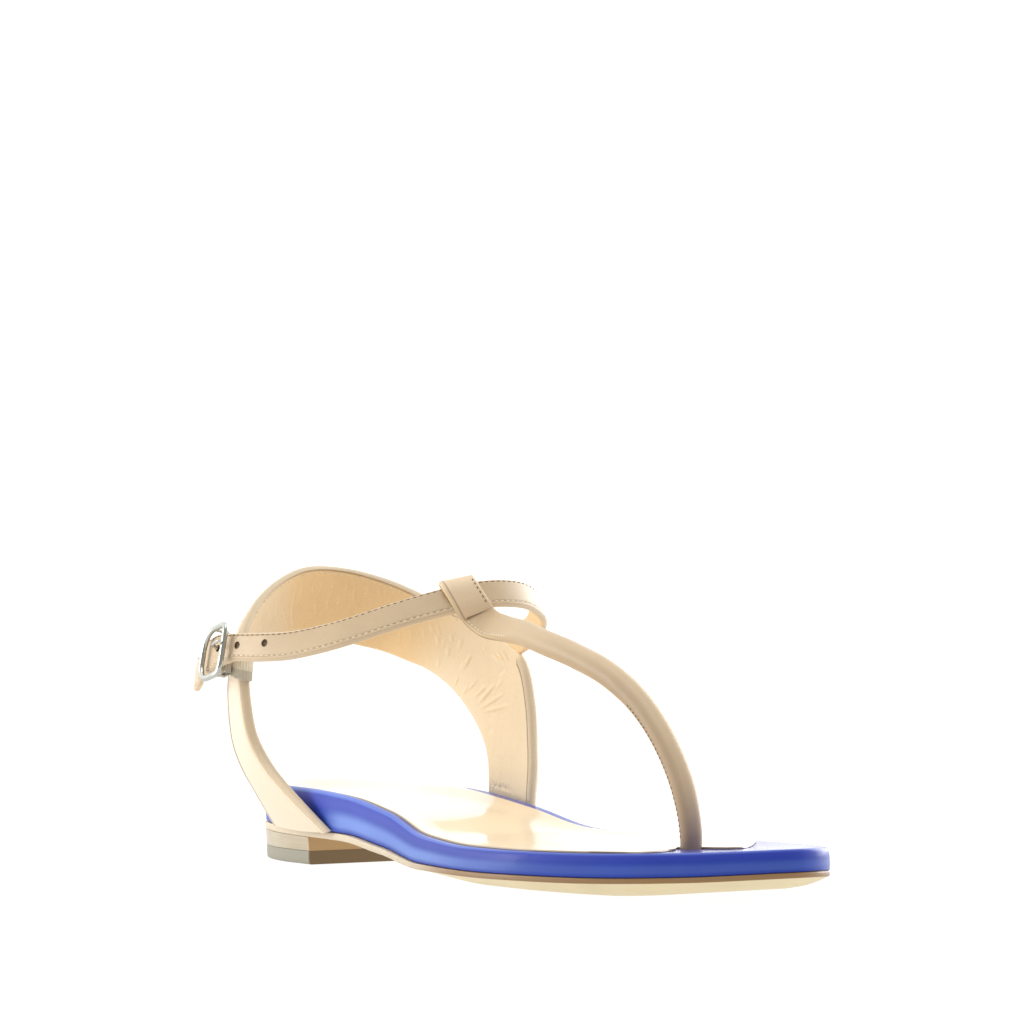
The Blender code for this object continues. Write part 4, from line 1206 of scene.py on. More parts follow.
def tee_finish(colours):
    """Rolled strap leather, painted darker and cooler towards the toe post as shade and the blue footbed's
    reflection, painted lighter on the loop's end, with layered cut edges at the loop.
    """
    finish = Finish("rolled_strap_leather", roughness=0.4, coat_roughness=0.28, ior=1.5)
    along = finish.on("along")
    post_shade_and_reflection = finish.patchy(colours.post, 0.92, 70.0)
    warm = finish.patchy(colours.strap, 0.94, 60.0)
    # Painted light: the loop's folded end, which faces up, is a lighter beige
    warm = finish.mix(finish.step(along, *FLAP_START), warm, colours.flap)
    # Painted shade and reflection: darker, cooler colour towards the foot of the toe post
    colour = finish.mix(finish.step(along, 0.002, 0.020), post_shade_and_reflection, warm)
    shade = finish.fall(finish.on("low"), 0.0002, 0.0018)
    shade = shade * finish.fall(along, 0.05, 0.11)
    colour = finish.mix(0.35 * shade, colour, colours.strap_edge)
    nearest = finish.maths("MINIMUM", finish.on("up"), finish.on("low"))
    flat = finish.step(along, *FLAT_START)
    edge = finish.fall(nearest, 0.00012, 0.00050) * flat
    layers = finish.step(abs(finish.on("level")), 0.10, 0.40)
    raw = finish.mix(layers, colours.strap_edge, tone(colours.lining, 0.9))
    colour = finish.mix(edge * 0.8, colour, raw)
    flap = finish.step(along, 0.1445, 0.1455) * finish.line(finish.on("low"), 0.0013, 0.0004)
    colour = finish.mix(0.6 * flap, colour, colours.strap_edge)
    pebbles = leather_grain(finish, 1600.0, 3e-5)
    finish.set("Base Color", finish.mix(0.06 * (1.0 - pebbles), colour, colours.strap_edge))
    finish.gloss(0.46, 0.14, 900.0)
    finish.set("Coat Weight", 0.08 - 0.04 * flat)
    return finish.material


def blue_finish(colours):
    """Smooth dyed leather wrapped round the footbed, with painted reflection, highlight and shade on its
    wall.
    """
    finish = Finish("blue_wrap_leather", coat_roughness=0.12, ior=1.29)
    rise = finish.on("rise")
    body = finish.patchy(colours.blue, 0.90, 55.0)
    along = finish.on("along")
    # Painted shade: the upper wall goes violet-dark, standing for the darker surroundings it reflects
    upper_wall_painted_shade = finish.step(rise, 0.45, 0.80)
    colour = finish.mix(0.7 * upper_wall_painted_shade, body, colours.blue_shade)
    # Painted reflection: a lighter sheen on the lower wall at the arch, standing for the bright floor's
    # reflection
    arch = finish.step(along, 0.058, 0.074) * (1.0 - 0.75 * finish.step(along, 0.125, 0.190))
    sheen = finish.step(rise, 0.04, 0.22) * finish.fall(rise, 0.36, 0.66) * arch
    colour = finish.mix(sheen * (0.72 + 0.28 * finish.noise(70.0, 2.0)), colour, colours.blue_painted_reflection)
    # Painted highlight along the rounded rim, mostly at the heel
    ridge = finish.line(rise, 0.97, 0.09) * (1.0 - 0.6 * finish.step(along, 0.14, 0.19))
    colour = finish.mix(0.45 * ridge, colour, tone(colours.blue_painted_reflection, 1.3))
    # Painted shade at the foot of the wall, where it meets the outsole
    seam = finish.fall(rise, 0.015, 0.06)
    colour = finish.mix(seam * 0.75, colour, tone(colours.blue_shade, 0.35))
    rub = finish.step(finish.noise(140.0, 5.0, 0.7), 0.66, 0.80) * finish.line(rise, 1.0, 0.18)
    colour = finish.mix(rub * 0.12, colour, tone(colours.blue, 2.2))
    pebbles = leather_grain(finish, 1900.0, 2.5e-5, 0.5)
    finish.set("Base Color", finish.mix(0.10 * (1.0 - pebbles), colour, colours.blue_shade))
    finish.gloss(0.32, 0.12, 700.0)
    finish.set("Coat Weight", 0.08 + 0.7 * finish.step(rise, 0.96, 1.08))
    return finish.material


def sock_finish(colours):
    """Glossy nude sheet with a dark cut edge, whitened towards the heel as painted light."""
    finish = Finish("sock_leather", coat_roughness=0.10, ior=1.5)
    colour = finish.patchy(colours.sock, 0.94, 40.0)
    # Painted light: the sock is whitened towards the heel, where strong light washes it out
    heel = 0.6 - 0.6 * finish.step(finish.on("along"), *SOCK_PAINTED_LIGHT_END)
    colour = finish.mix(heel, colour, colours.sock_painted_light)
    edge = finish.fall(finish.on("edge"), 0.00015, 0.00060)
    colour = finish.mix(edge * 0.7, colour, tone(colours.strap_edge, 0.7))
    finish.set("Base Color", colour)
    finish.gloss(0.26, 0.12, 500.0)
    finish.set("Coat Weight", 0.90 - 0.20 * finish.noise(45.0, 3.0))
    leather_grain(finish, 1700.0, 2e-5, 0.35)
    return finish.material


def outsole_finish(colours):
    """Leather sole: painted edge, lightened at heel and arch as painted light, pale smooth underside with
    faint rubs.
    """
    finish = Finish("outsole_leather", coat_roughness=0.3, ior=1.48)
    along = finish.on("along")
    # Painted light: the brown edge paint is lightened to nude at the heel and arch, where light falls on it
    paint = finish.mix(finish.step(along, *EDGE_TURNS_BROWN), colours.edge_painted_light, colours.edge_brown)
    paint = finish.mix(0.25 * finish.noise(300.0, 4.0), paint, tone(colours.edge_brown, 0.6))
    under = finish.patchy(colours.underside, 0.92, 45.0)
    rubs = finish.noise(1.0, 5.0, 0.7, finish.stretched(60.0, 700.0, 200.0))
    under = finish.mix(0.22 * finish.step(rubs, 0.55, 0.80), under, colours.edge_brown)
    side = finish.step(finish.on("side"), 0.25, 0.75)
    finish.set("Base Color", finish.mix(side, under, paint))
    layers = finish.noise(1.0, 3.0, 0.6, finish.stretched(120.0, 120.0, 2600.0))
    finish.bump(layers * side + finish.noise(1200.0, 3.0) * 0.7, 4e-5, 0.6)
    finish.set("Roughness", 0.52 - 0.16 * side + 0.12 * finish.noise(400.0, 2.0))
    finish.set("Coat Weight", 0.15 * side)
    return finish.material


def heel_finish(colours):
    """Stained heel block with faint stacked layers."""
    finish = Finish("heel_block_leather", coat_roughness=0.25, ior=1.5)
    body = finish.patchy(colours.heel, 0.88, 80.0)
    layers = finish.noise(1.0, 3.0, 0.6, finish.stretched(45.0, 45.0, 1500.0))
    colour = finish.mix(0.35 * finish.step(layers, 0.40, 0.70), body, tone(colours.heel, 0.72))
    breast = finish.step(finish.on("along"), *BREAST_EDGE)
    stained = finish.mix(0.3 * layers, colours.breast, tone(colours.breast, 0.75))
    finish.set("Base Color", finish.mix(breast, colour, stained))
    finish.bump(layers + finish.noise(1500.0, 2.0) * 0.4, 4e-5, 0.6)
    finish.gloss(0.36, 0.16, 600.0)
    finish.set("Coat Weight", 0.25 + 0.1 * finish.noise(90.0, 2.0))
    return finish.material


def lift_finish(colours):
    """Moulded rubber of the top lift."""
    finish = Finish("top_lift_rubber", ior=1.48)
    grit = finish.noise(2600.0, 3.0, 0.7)
    breast = finish.step(finish.on("along"), *BREAST_EDGE)
    body = finish.mix(breast, colours.lift, tone(colours.breast, 0.38))
    finish.set("Base Color", finish.mix(0.35 * grit, body, tone(colours.lift, 0.6)))
    finish.bump(grit, 5e-5, 0.6)
    finish.gloss(0.55, 0.2, 900.0)
    return finish.material


def hole_finish(colours):
    """Dark brown inside a punched hole: painted shade over the raw leather's colour."""
    finish = Finish("hole_raw_leather", roughness=0.8)
    raw = finish.mottled(tone(colours.strap_edge, 0.8), tone(colours.strap_edge, 0.5), 900.0)
    finish.set("Base Color", raw)
    return finish.material


def thread_finish(name, colour):
    """Twisted sewing thread."""
    finish = Finish(name, ior=1.45)
    finish.set("Base Color", finish.patchy(colour, 0.75, 900.0))
    twist = finish.noise(1.0, 2.0, 0.5, finish.stretched(5200.0, 5200.0, 5200.0))
    finish.bump(twist, 4e-5, 0.7)
    finish.set("Roughness", 0.55 + 0.2 * twist)
    return finish.material


def elastic_finish(colours, sizes):
    """Ribbed elastic webbing, with painted shade in its rib valleys and on its lower layer."""
    finish = Finish("ribbed_elastic", ior=1.45)
    wave = finish.maths("SINE", finish.on("along") * (2 * pi / sizes.rib), 0.0)
    # Painted shade in the valleys between the ribs
    rib_valley_shade = finish.fall(wave, -0.9, 0.2)
    cloth = finish.patchy(colours.elastic, 0.9, 300.0)
    # Painted shade: the lower layer, under the fold, is darker
    under = finish.fall(finish.on("low"), *ELASTIC_FOLD)
    cloth = finish.mix(0.6 * under, cloth, tone(colours.elastic, 0.45))
    finish.set("Base Color", finish.mix(rib_valley_shade * 0.4, cloth, tone(colours.elastic, 0.55)))
    yarn = finish.noise(1.0, 2.0, 0.5, finish.stretched(5000.0, 5000.0, 2500.0))
    finish.bump(yarn, 6e-5, 0.8)
    finish.set("Roughness", 0.7 + 0.2 * yarn)
    return finish.material


def steel_finish(colours):
    """Polished plated steel with hairlines."""
    finish = Finish("buckle_steel", ior=2.0)
    hairs = finish.noise(1.0, 3.0, 0.6, finish.stretched(900.0, 900.0, 7000.0))
    finish.set("Base Color", finish.mix(0.15 * hairs, colours.steel, tone(colours.steel, 0.8)))
    finish.set("Metallic", 0.97 + 0.03 * hairs)
    finish.bump(hairs, 4e-6, 0.5)
    finish.gloss(0.12, 0.10, 1200.0)
    return finish.material


def size(label, text, default):
    """Length that a user may change."""
    return FloatProperty(name=label, description=text, default=default, unit="LENGTH", precision=5)


def swatch(label, text, red, green, blue):
    """Colour that a user may change, from steps of 0 to 255."""
    shade = linear(red, green, blue)
    return FloatVectorProperty(
        name=label, description=text, default=shade, size=3, subtype="COLOR", min=0.0, max=1.0
    )


class SandalSizes(bpy.types.PropertyGroup):
    """Small sizes of the sandal's trim."""

    pitch: size("Stitch pitch", "Distance from stitch to stitch", 0.0020)
    stitch: size("Stitch length", "Length of one stitch", 0.0013)
    thread: size("Thread", "Radius of the sewing thread", 0.00019)
    # The upper seam's darker thread is painted shade of its sunk stitches
    top_seam: size("Top seam", "Ankle strap's dark seam, in from its upper edge", 0.00075)
    low_seam: size("Lower seam", "Ankle strap's light seam, in from its lower edge", 0.0015)
    rim: size("Rolled rim", "Width of the band's rolled rim", 0.0008)
    lining_seam: size("Lining seam", "Lining's stitches, in from the upper edge", 0.0018)
    rib: size("Rib", "Pitch of the elastic's ribs", 0.00072)


class SandalColours(bpy.types.PropertyGroup):
    """Colours of the sandal's leathers, threads and metal."""

    strap: swatch("Strap leather", "Beige of the straps", 194, 170, 136)
    # Also lightens the band's hide, more on the outer strap, where the extra is painted light
    strap_light: swatch("Strap fold", "Pale leather of the folded edges", 226, 206, 174)
    # Near-white beige that paints strong light on the outer strap and on the ankle strap's first stretch
    strap_painted_light: swatch("Pale strap", "Bleached outer face of the outer strap", 240, 232, 212)
    # Brown paint of cut edges, also used as painted shade in grooves, seams, holes and beside the toe
    # post's seam
    strap_edge: swatch("Strap edge", "Brown paint of cut edges and grooves", 128, 104, 78)
    # Lighter beige that paints the light on the up-facing loop end
    flap: swatch("Loop leather", "Beige of the loop's folded end", 216, 192, 158)
    # Darker, cooler beige that paints the shade and the blue footbed's reflection at the toe post's foot
    post: swatch("Toe post leather", "Cooler beige of the toe post", 166, 144, 126)
    lining: swatch("Lining", "Golden peach lining", 234, 202, 152)
    # Paler lining that paints the light on the two sides and on the banks beside the creases
    lining_painted_light: swatch("Pale lining", "Lining of the two sides", 232, 212, 178)
    # Grey of the speckled patch painted at the foot of the lining
    grey_patch: swatch("Stain", "Grey rub at the foot of the lining", 146, 138, 140)
    rim: swatch("Rolled rim", "Pinkish beige rim of the band", 207, 189, 160)
    sock: swatch("Sock", "Nude sheet under the foot", 232, 210, 176)
    # Near-white that paints the strong light on the sock towards the heel
    sock_painted_light: swatch("Sock at heel", "Paler sock leather under the heel", 250, 242, 228)
    blue: swatch("Blue wrap", "Blue leather of the footbed", 34, 64, 164)
    # Light blue that paints the floor's reflection on the lower wall and the highlight along the rim
    blue_painted_reflection: swatch("Blue sheen", "Burnished blue of the lower wall", 112, 140, 208)
    # Violet blue that paints the shade on the upper wall
    blue_shade: swatch("Blue shade", "Violet blue of the upper wall", 50, 64, 164)
    edge_brown: swatch("Edge paint", "Brown edge of the outsole", 150, 114, 70)
    # Nude that paints the light on the outsole's brown edge at the heel and arch
    edge_painted_light: swatch("Edge at the arch", "Pale edge of the outsole", 208, 192, 164)
    underside: swatch("Underside", "Cream underside of the outsole", 232, 214, 172)
    heel: swatch("Heel block", "Stained leather of the heel", 180, 166, 138)
    lift: swatch("Top lift", "Taupe rubber of the top lift", 147, 142, 125)
    breast: swatch("Heel breast", "Stained front face of the heel", 188, 152, 104)
    # Darker copy of the pale thread: painted shade of the sunk stitches on the upper seams, the loop and
    # the toe post
    dark_thread: swatch("Dark thread", "Thread of the upper seams", 132, 110, 84)
    light_thread: swatch("Light thread", "Thread of the lower seams", 238, 222, 190)
    elastic: swatch("Elastic", "Ribbed elastic", 222, 214, 194)
    steel: swatch("Steel", "Polished buckle", 192, 193, 184)


def along_of(points):
    """Distances from the heel of world points."""
    return MIDDLE_ALONG - points[..., 1]


def sole_pairs():
    """Points of a sole-shaped loop that lie across from each other."""
    return [(k, (2 * SOLE_SIDE - k) % (2 * SOLE_SIDE)) for k in range(SOLE_SIDE + 1)]


def view_way():
    """Direction from the sandal to the place that the picture is taken from."""
    return Vector((
        -sin(VIEW_TURN) * cos(VIEW_RISE), -cos(VIEW_TURN) * cos(VIEW_RISE), sin(VIEW_RISE),
    ))


def world_light(scene):
    """White studio all round, dim only on the side that the picture is taken from."""
    world = bpy.data.worlds.new("studio")
    world.use_nodes = True
    studio = Nodes(world.node_tree)
    place = studio.node("ShaderNodeTexCoord", output="Generated")
    toward = studio.node(
        "ShaderNodeVectorMath", {"operation": "DOT_PRODUCT"}, {0: place, 1: view_way()}, "Value"
    )
    front = studio.step(toward, LIGHT_BEHIND, LIGHT_FRONT)
    background = world.node_tree.nodes["Background"]
    studio.feed(background.inputs["Color"], (1.0, 1.0, 1.0))
    studio.feed(background.inputs["Strength"], LIGHT_FULL - (LIGHT_FULL - LIGHT_DIM) * front)
    scene.world = world


def softboxes(scene):
    """Square lamps round the sandal, turned towards it."""
    for row in SOFTBOXES:
        lamp = bpy.data.lights.new(row.name, "AREA")
        lamp.energy = row.power
        lamp.size = row.size
        lamp.spread = radians(row.spread)
        box = bpy.data.objects.new(row.name, lamp)
        box.location = row.place
        box.rotation_euler = (Vector(row.aim) - box.location).to_track_quat("-Z", "Y").to_euler()
        box.visible_camera = False
        scene.collection.objects.link(box)


def place_camera(scene):
    """Camera at the picture's angle and framing."""
    pivot = Vector(at(0.0, LENGTH / 2, 0.0))
    offset = view_way()
    focus = VIEW_SCALE * VIEW_DISTANCE
    middle = PICTURE / 2
    spot = Vector(((VIEW_POINT[0] - middle) / focus, (middle - VIEW_POINT[1]) / focus, -1.0))
    spot.normalize()
    toward = -offset
    reach = hypot(spot.y, -spot.z)
    pitch = asin(toward.z / reach) - atan2(spot.y, -spot.z)
    level = -spot.z * cos(pitch) - spot.y * sin(pitch)
    yaw = atan2(toward.y, toward.x) + atan2(spot.x, level)
    ahead = Vector((cos(yaw) * cos(pitch), sin(yaw) * cos(pitch), sin(pitch)))
    right = Vector((sin(yaw), -cos(yaw), 0.0))
    above = right.cross(ahead)
    turn = Matrix((right, above, -ahead)).transposed().to_4x4()
    data = bpy.data.cameras.new("camera")
    data.sensor_width = SENSOR
    data.lens = focus / PICTURE * SENSOR
    data.clip_start = 0.01
    camera = bpy.data.objects.new("camera", data)
    scene.collection.objects.link(camera)
    camera.matrix_world = Matrix.Translation(pivot + offset * VIEW_DISTANCE) @ turn
    scene.camera = camera


class SANDAL_OT_stage(bpy.types.Operator):
    """Lays the pale floor and sets the soft light and the camera."""

    bl_idname = "sandal.stage"
    bl_label = "Stage"

    def execute(self, context):
        scene = context.scene
        scene.view_settings.view_transform = "Standard"
        finish = Finish("studio_floor", roughness=0.9)
        finish.set("Base Color", finish.mottled(FLOOR_LIGHT, FLOOR_DARK, 3.0))
        finish.set("Emission Color", (1.0, 1.0, 1.0))
        finish.set("Emission Strength", FLOOR_GLOW)
        mesh = bpy.data.meshes.new("floor")
        corners = [(x * FLOOR_REACH, y * FLOOR_REACH, 0) for x, y in ((-1, -1), (1, -1), (1, 1), (-1, 1))]
        mesh.from_pydata(corners, [], [(0, 1, 2, 3)])
        mesh.materials.append(finish.material)
        floor = bpy.data.objects.new("floor", mesh)
        scene.collection.objects.link(floor)
        world_light(scene)
        softboxes(scene)
        place_camera(scene)
        return {"FINISHED"}


class SANDAL_OT_outsole(bpy.types.Operator):
    """Cuts the thin outsole with its rounded underside and painted edge."""

    bl_idname = "sandal.outsole"
    bl_label = "Outsole"

    def execute(self, context):
        colours = context.scene.sandal_colours
        turns = sole_turns()
        lift_at = curve_through([-row.inset for row in UNDER], [row.lift for row in UNDER])
        loops, side = [], []

        def foot(along):
            return sole("seam", along) - sole("edge", along)

        def layer(inset, height, mark):
            def tucked(along):
                toe = TOE_TUCK * soft_step(along, *TOE_TUCK_SPAN)
                return inset + toe + HEEL_TUCK * (1 - soft_step(along, *HEEL_TUCK_SPAN))

            loops.append(sole_loop(turns, tucked, height))
            side.append(mark)

        for inset in np.linspace(UNDER[0].inset, UNDER[-1].inset, 14):
            share = lift_at(-inset)

            def height(along, share=share):
                return sole("floor", along) + (foot(along) - sole("floor", along)) * share

            layer(inset, height, 0.0)
        for turn in np.linspace(0.2, 1.0, 4) * pi / 2:
            drop = EDGE_BEVEL * (1 - sin(turn))
            layer(drop, lambda along, c=cos(turn): foot(along) + EDGE_BEVEL * (1 - c), 1.0)
        for share in (0.35, 0.50, 0.65):
            layer(0.0, lambda along, share=share: foot(along) + sole("edge", along) * share, 1.0)
        for turn in np.linspace(0.0, 0.9, 4) * pi / 2:
            rise = EDGE_BEVEL * (1 - sin(turn))
            layer(EDGE_BEVEL * (1 - cos(turn)), lambda along, r=rise: sole("seam", along) - r, 1.0)
        layer(EDGE_LAP, lambda along: sole("seam", along), 1.0)
        loops = np.array(loops)
        marks = np.repeat(np.array(side)[:, None], len(turns), axis=1)
        values = {"side": marks, "along": along_of(loops)}
        points, faces, values = closed_layer(loops, values, sole_pairs())
        finish = outsole_finish(colours)
        make_piece("outsole_leather", points, faces, finish, "outsole", values)
        return {"FINISHED"}


class SANDAL_OT_heel(bpy.types.Operator):
    """Builds the heel block and the top lift it stands on."""

    bl_idname = "sandal.heel"
    bl_label = "Heel"

    def execute(self, context):
        colours = context.scene.sandal_colours
        pairs = [(k, 2 * HEEL_SIDE - k) for k in range(HEEL_SIDE + 1)]
        reach = np.arccos(1 - 2 * HEEL_BREAST / LENGTH)
        turns = reach * (1 - np.arange(2 * HEEL_SIDE + 1) / HEEL_SIDE)

        def loop(inset, height):
            place = sole_edge(turns) + inward(turns) * inset
            along = np.minimum(place[:, 1], HEEL_BREAST)
            return at(place[:, 0], along, height(place[:, 1]))

        def block_loop(row):
            foot = TOP_LIFT + HEEL_GAP
            inset = BLOCK_FOOT + (BLOCK_TOP - BLOCK_FOOT) * row.share + row.inset
            return loop(
                inset, lambda along: foot + (sole("floor", along) - HEEL_GAP - foot) * row.share
            )

        block = [block_loop(row) for row in BLOCK]
        lift = [loop(BLOCK_FOOT + row.inset, lambda along, up=row.up: up) for row in LIFT]
        for name, loops, finish, node in (
            ("heel_block_leather", block, heel_finish(colours), "heel_block"),
            ("heel_top_lift_rubber", lift, lift_finish(colours), "heel_top_lift"),
        ):
            points, faces, values = closed_layer(loops, {}, pairs)
            make_piece(name, points, faces, finish, node, {"along": along_of(points)})
        return {"FINISHED"}


class SANDAL_OT_footbed(bpy.types.Operator):
    """Wraps the moulded footbed in blue leather."""

    bl_idname = "sandal.footbed"
    bl_label = "Footbed"

    def execute(self, context):
        colours = context.scene.sandal_colours
        turns = sole_turns()

        def ledge(along):
            return sole("ledge", along) + TOE_TRIM * soft_step(along, *TOE_TRIM_SPAN)

        def foot(along):
            return sole("seam", along) + SEAM_GAP

        loops = [sole_loop(turns, lambda along: ledge(along) + BED_LAP, foot)]
        rises = [0.0]
        for share, rise in smooth_rows(WRAP, 5):
            def inset(along, share=share):
                return ledge(along) + share * wall_height(along)

            def height(along, rise=rise):
                return foot(along) + rise * (sole("rim", along) - foot(along))

            loops.append(sole_loop(turns, inset, height))
            rises.append(rise)
        depths = sorted(set(BED_LOOPS) | {(a + b) / 2 for a, b in zip(BED_LOOPS, BED_LOOPS[1:])})
        for depth in depths:
            loops.append(sole_loop(
                turns,
                lambda along, depth=depth: ledge(along) + depth,
                lambda along, depth=depth: dished(along, depth),
            ))
            rises.append(1.0 + depth / BED_LOOPS[-1])
        loops = np.array(loops)
        rise = np.repeat(np.array(rises)[:, None], len(turns), axis=1)
        values = {"rise": rise, "along": along_of(loops)}
        points, faces, values = closed_layer(loops, values, sole_pairs())
        finish = blue_finish(colours)
        make_piece("footbed_wrap", points, faces, finish, "footbed", values)
        return {"FINISHED"}


class SANDAL_OT_sock(bpy.types.Operator):
    """Lays the nude sock on the footbed, cut back round the toe post."""

    bl_idname = "sandal.sock"
    bl_label = "Sock"

    def execute(self, context):
        colours = context.scene.sandal_colours
        front = curve_through([row.across for row in SOCK_FRONT], [row.along for row in SOCK_FRONT])
        rows = (1 - np.cos(pi * np.arange(SOCK_ROWS + 1) / SOCK_ROWS)) / 2
        columns = (1 - np.cos(pi * np.arange(SOCK_COLUMNS + 1) / SOCK_COLUMNS)) / 2
        columns = 0.6 * columns + 0.4 * np.arange(SOCK_COLUMNS + 1) / SOCK_COLUMNS
        start = SOCK_BACK + SOCK_FIRST
        along = start + rows[:, None] * (front(columns) - start)

        def half(along, inset):
            width = sole("half", along) * end_round(LENGTH - along, TOE_ROUND, TOE_SQUARE)
            width = width - sole("ledge", along) - inset
            return width * end_round(along - SOCK_BACK, HEEL_ROUND - SOCK_BACK, HEEL_SQUARE)

        reach = SOCK_RIM + (SOCK_WAIST - SOCK_RIM) * soft_step(along, *SOCK_NARROWS)
        reach = reach + (SOCK_INSET - SOCK_WAIST) * soft_step(along, *SOCK_WIDENS)
        left = sole("centre", along) - half(along, SOCK_INSET)
        right = sole("centre", along) + half(along, reach)
        across = left + (right - left) * columns
        side = np.minimum(columns, 1 - columns) * (right - left)
        edge = np.minimum(np.minimum(side, front(columns) - along), along - start)
        bed = bed_top(across, along)
        round_over = np.sqrt(np.clip(1 - (1 - np.clip(edge / SHEET, 0, 1)) ** 2, 0, 1))
        low = at(across, along, bed + SHEET_LIFT)
        high = at(across, along, bed + SHEET_LIFT + SHEET * (0.35 + 0.65 * round_over))
        count, wide = along.shape
        index = np.arange(count * wide).reshape(count, wide)
        quads = np.stack((index[:-1, :-1], index[:-1, 1:], index[1:, 1:], index[1:, :-1]), -1)
        faces = quads.reshape(-1, 4).tolist()
        faces += (quads[..., ::-1].reshape(-1, 4) + count * wide).tolist()
        ring = np.concatenate((index[:, 0], index[-1, 1:], index[-2::-1, -1], index[0, -2:0:-1]))
        for a, b in zip(ring, np.roll(ring, -1)):
            faces.append((int(a), int(b), int(b) + count * wide, int(a) + count * wide))
        points = np.vstack((low.reshape(-1, 3), high.reshape(-1, 3)))
        values = {"edge": np.concatenate((edge.ravel(), edge.ravel())), "along": along_of(points)}
        finish = sock_finish(colours)
        make_piece("sock_sheet", points, faces, finish, "insole_sock", values)
        return {"FINISHED"}


def crease_depth(along, across):
    """Depth of the lining's creases and wrinkles at places on the band."""
    depth = np.zeros(along.shape)
    for row in CREASES:
        reach = np.array((row.along2 - row.along1, row.across2 - row.across1))
        square = reach @ reach
        share = ((along - row.along1) * reach[0] + (across - row.across1) * reach[1]) / square
        share = np.clip(share, 0, 1)
        off = (along - row.along1) * reach[1] - (across - row.across1) * reach[0]
        gap = off / np.sqrt(square) / row.width
        fade = np.sin(pi * share) ** CREASE_FADE
        depth += row.depth * fade * (bell(gap, 0, 1) - BANK_RISE * bell(gap, BANK_OFF, BANK_WIDTH))
    return depth


def band_relief(side, along, across, up, low):
    """Rolled rim and creases inside, beaded front edge and rear groove outside."""
    straps = 1 - soft_step(along, *LATERAL_END) + soft_step(along, *JOIN_END)
    width = bpy.context.scene.sandal_sizes.rim + STRAP_BEAD * straps
    roll = 1 - soft_step(up, width + RIM_EDGE[0], width + RIM_EDGE[1])
    groove = press(RIM_GROOVE, up, width + RIM_GROOVE_OFF)
    if side < 0:
        bare = soft_step(along, *JOIN_START) - soft_step(along, *JOIN_END)
        rim = (RIM_RISE + RIM_STRAP_RISE * straps) * roll
        return (rim - groove) * (1 - bare) - CREASE_PRESS * crease_depth(along, across)
    return BEAD_RISE * straps * roll - 0.7 * groove - press(REAR_GROOVE, low, REAR_GROOVE_IN)


def strap_relief(side, along, across, up, low):
    """Grooves that the ankle strap's seams press in."""
    if side < 0:
        return np.zeros(along.shape)
    sizes = bpy.context.scene.sandal_sizes
    top = press(TOP_GROOVE, up, sizes.top_seam)
    foot = press(LOW_GROOVE, low, sizes.low_seam)
    return press(LOW_SWELL, low, LOW_SWELL_IN) - top - foot


def tee_relief(side, along, across, up, low):
    """Groove of the seam along one side of the rolled strap."""
    if side > 0:
        return np.zeros(along.shape)
    rolled = 1 - soft_step(along, *POST_GROOVE_END)
    return -rolled * press(POST_GROOVE, low, POST_SEAM)


def sew(name, path, normals, finish, pitch=1.0):
    """Row of stitches on the upper."""
    sizes = bpy.context.scene.sandal_sizes
    points, faces = stitch_sheet(
        path, normals, sizes.pitch * pitch, sizes.stitch * pitch, sizes.thread, 1.5 * sizes.thread
    )
    make_piece(name, points, faces, finish, "upper")


class SANDAL_OT_heel_band(bpy.types.Operator):
    """Forms the heel band and side straps with lining, rolled rim, creases and seams."""

    bl_idname = "sandal.heel_band"
    bl_label = "Heel band"

    def execute(self, context):
        sizes = context.scene.sandal_sizes
        colours = context.scene.sandal_colours
        strip = band_strip()
        across = edge_columns(strip, MARGINS, BAND_MIDDLE)
        lining = edge_columns(strip, MARGINS, LINING_MIDDLE)
        sheet = strip_sheet(strip, across, band_relief, lining)
        middle = (sheet.values["low"] - sheet.values["up"]) / 2
        fold = crease_depth(sheet.values["along"], middle) / FOLD_UNIT
        sheet.values["fold"] = np.where(sheet.values["face"] < 0, fold, 0.0)
        points, faces, values = closed_strip(sheet)
        finish = band_finish(colours, sizes)
        make_piece("heel_band_leather", points, faces, finish, "upper", values)
        light = thread_finish("light_thread", colours.light_thread)
        for name, side, span in (
            ("heel_band_inner_stitches", -1, INNER_SEAM),
            ("heel_band_outer_stitches", 1, OUTER_SEAM),
        ):
            path, normals = seam_path(strip, side, sizes.lining_seam, True, band_relief, *span)
            sew(name, path, normals, light, BAND_PITCH)
        return {"FINISHED"}


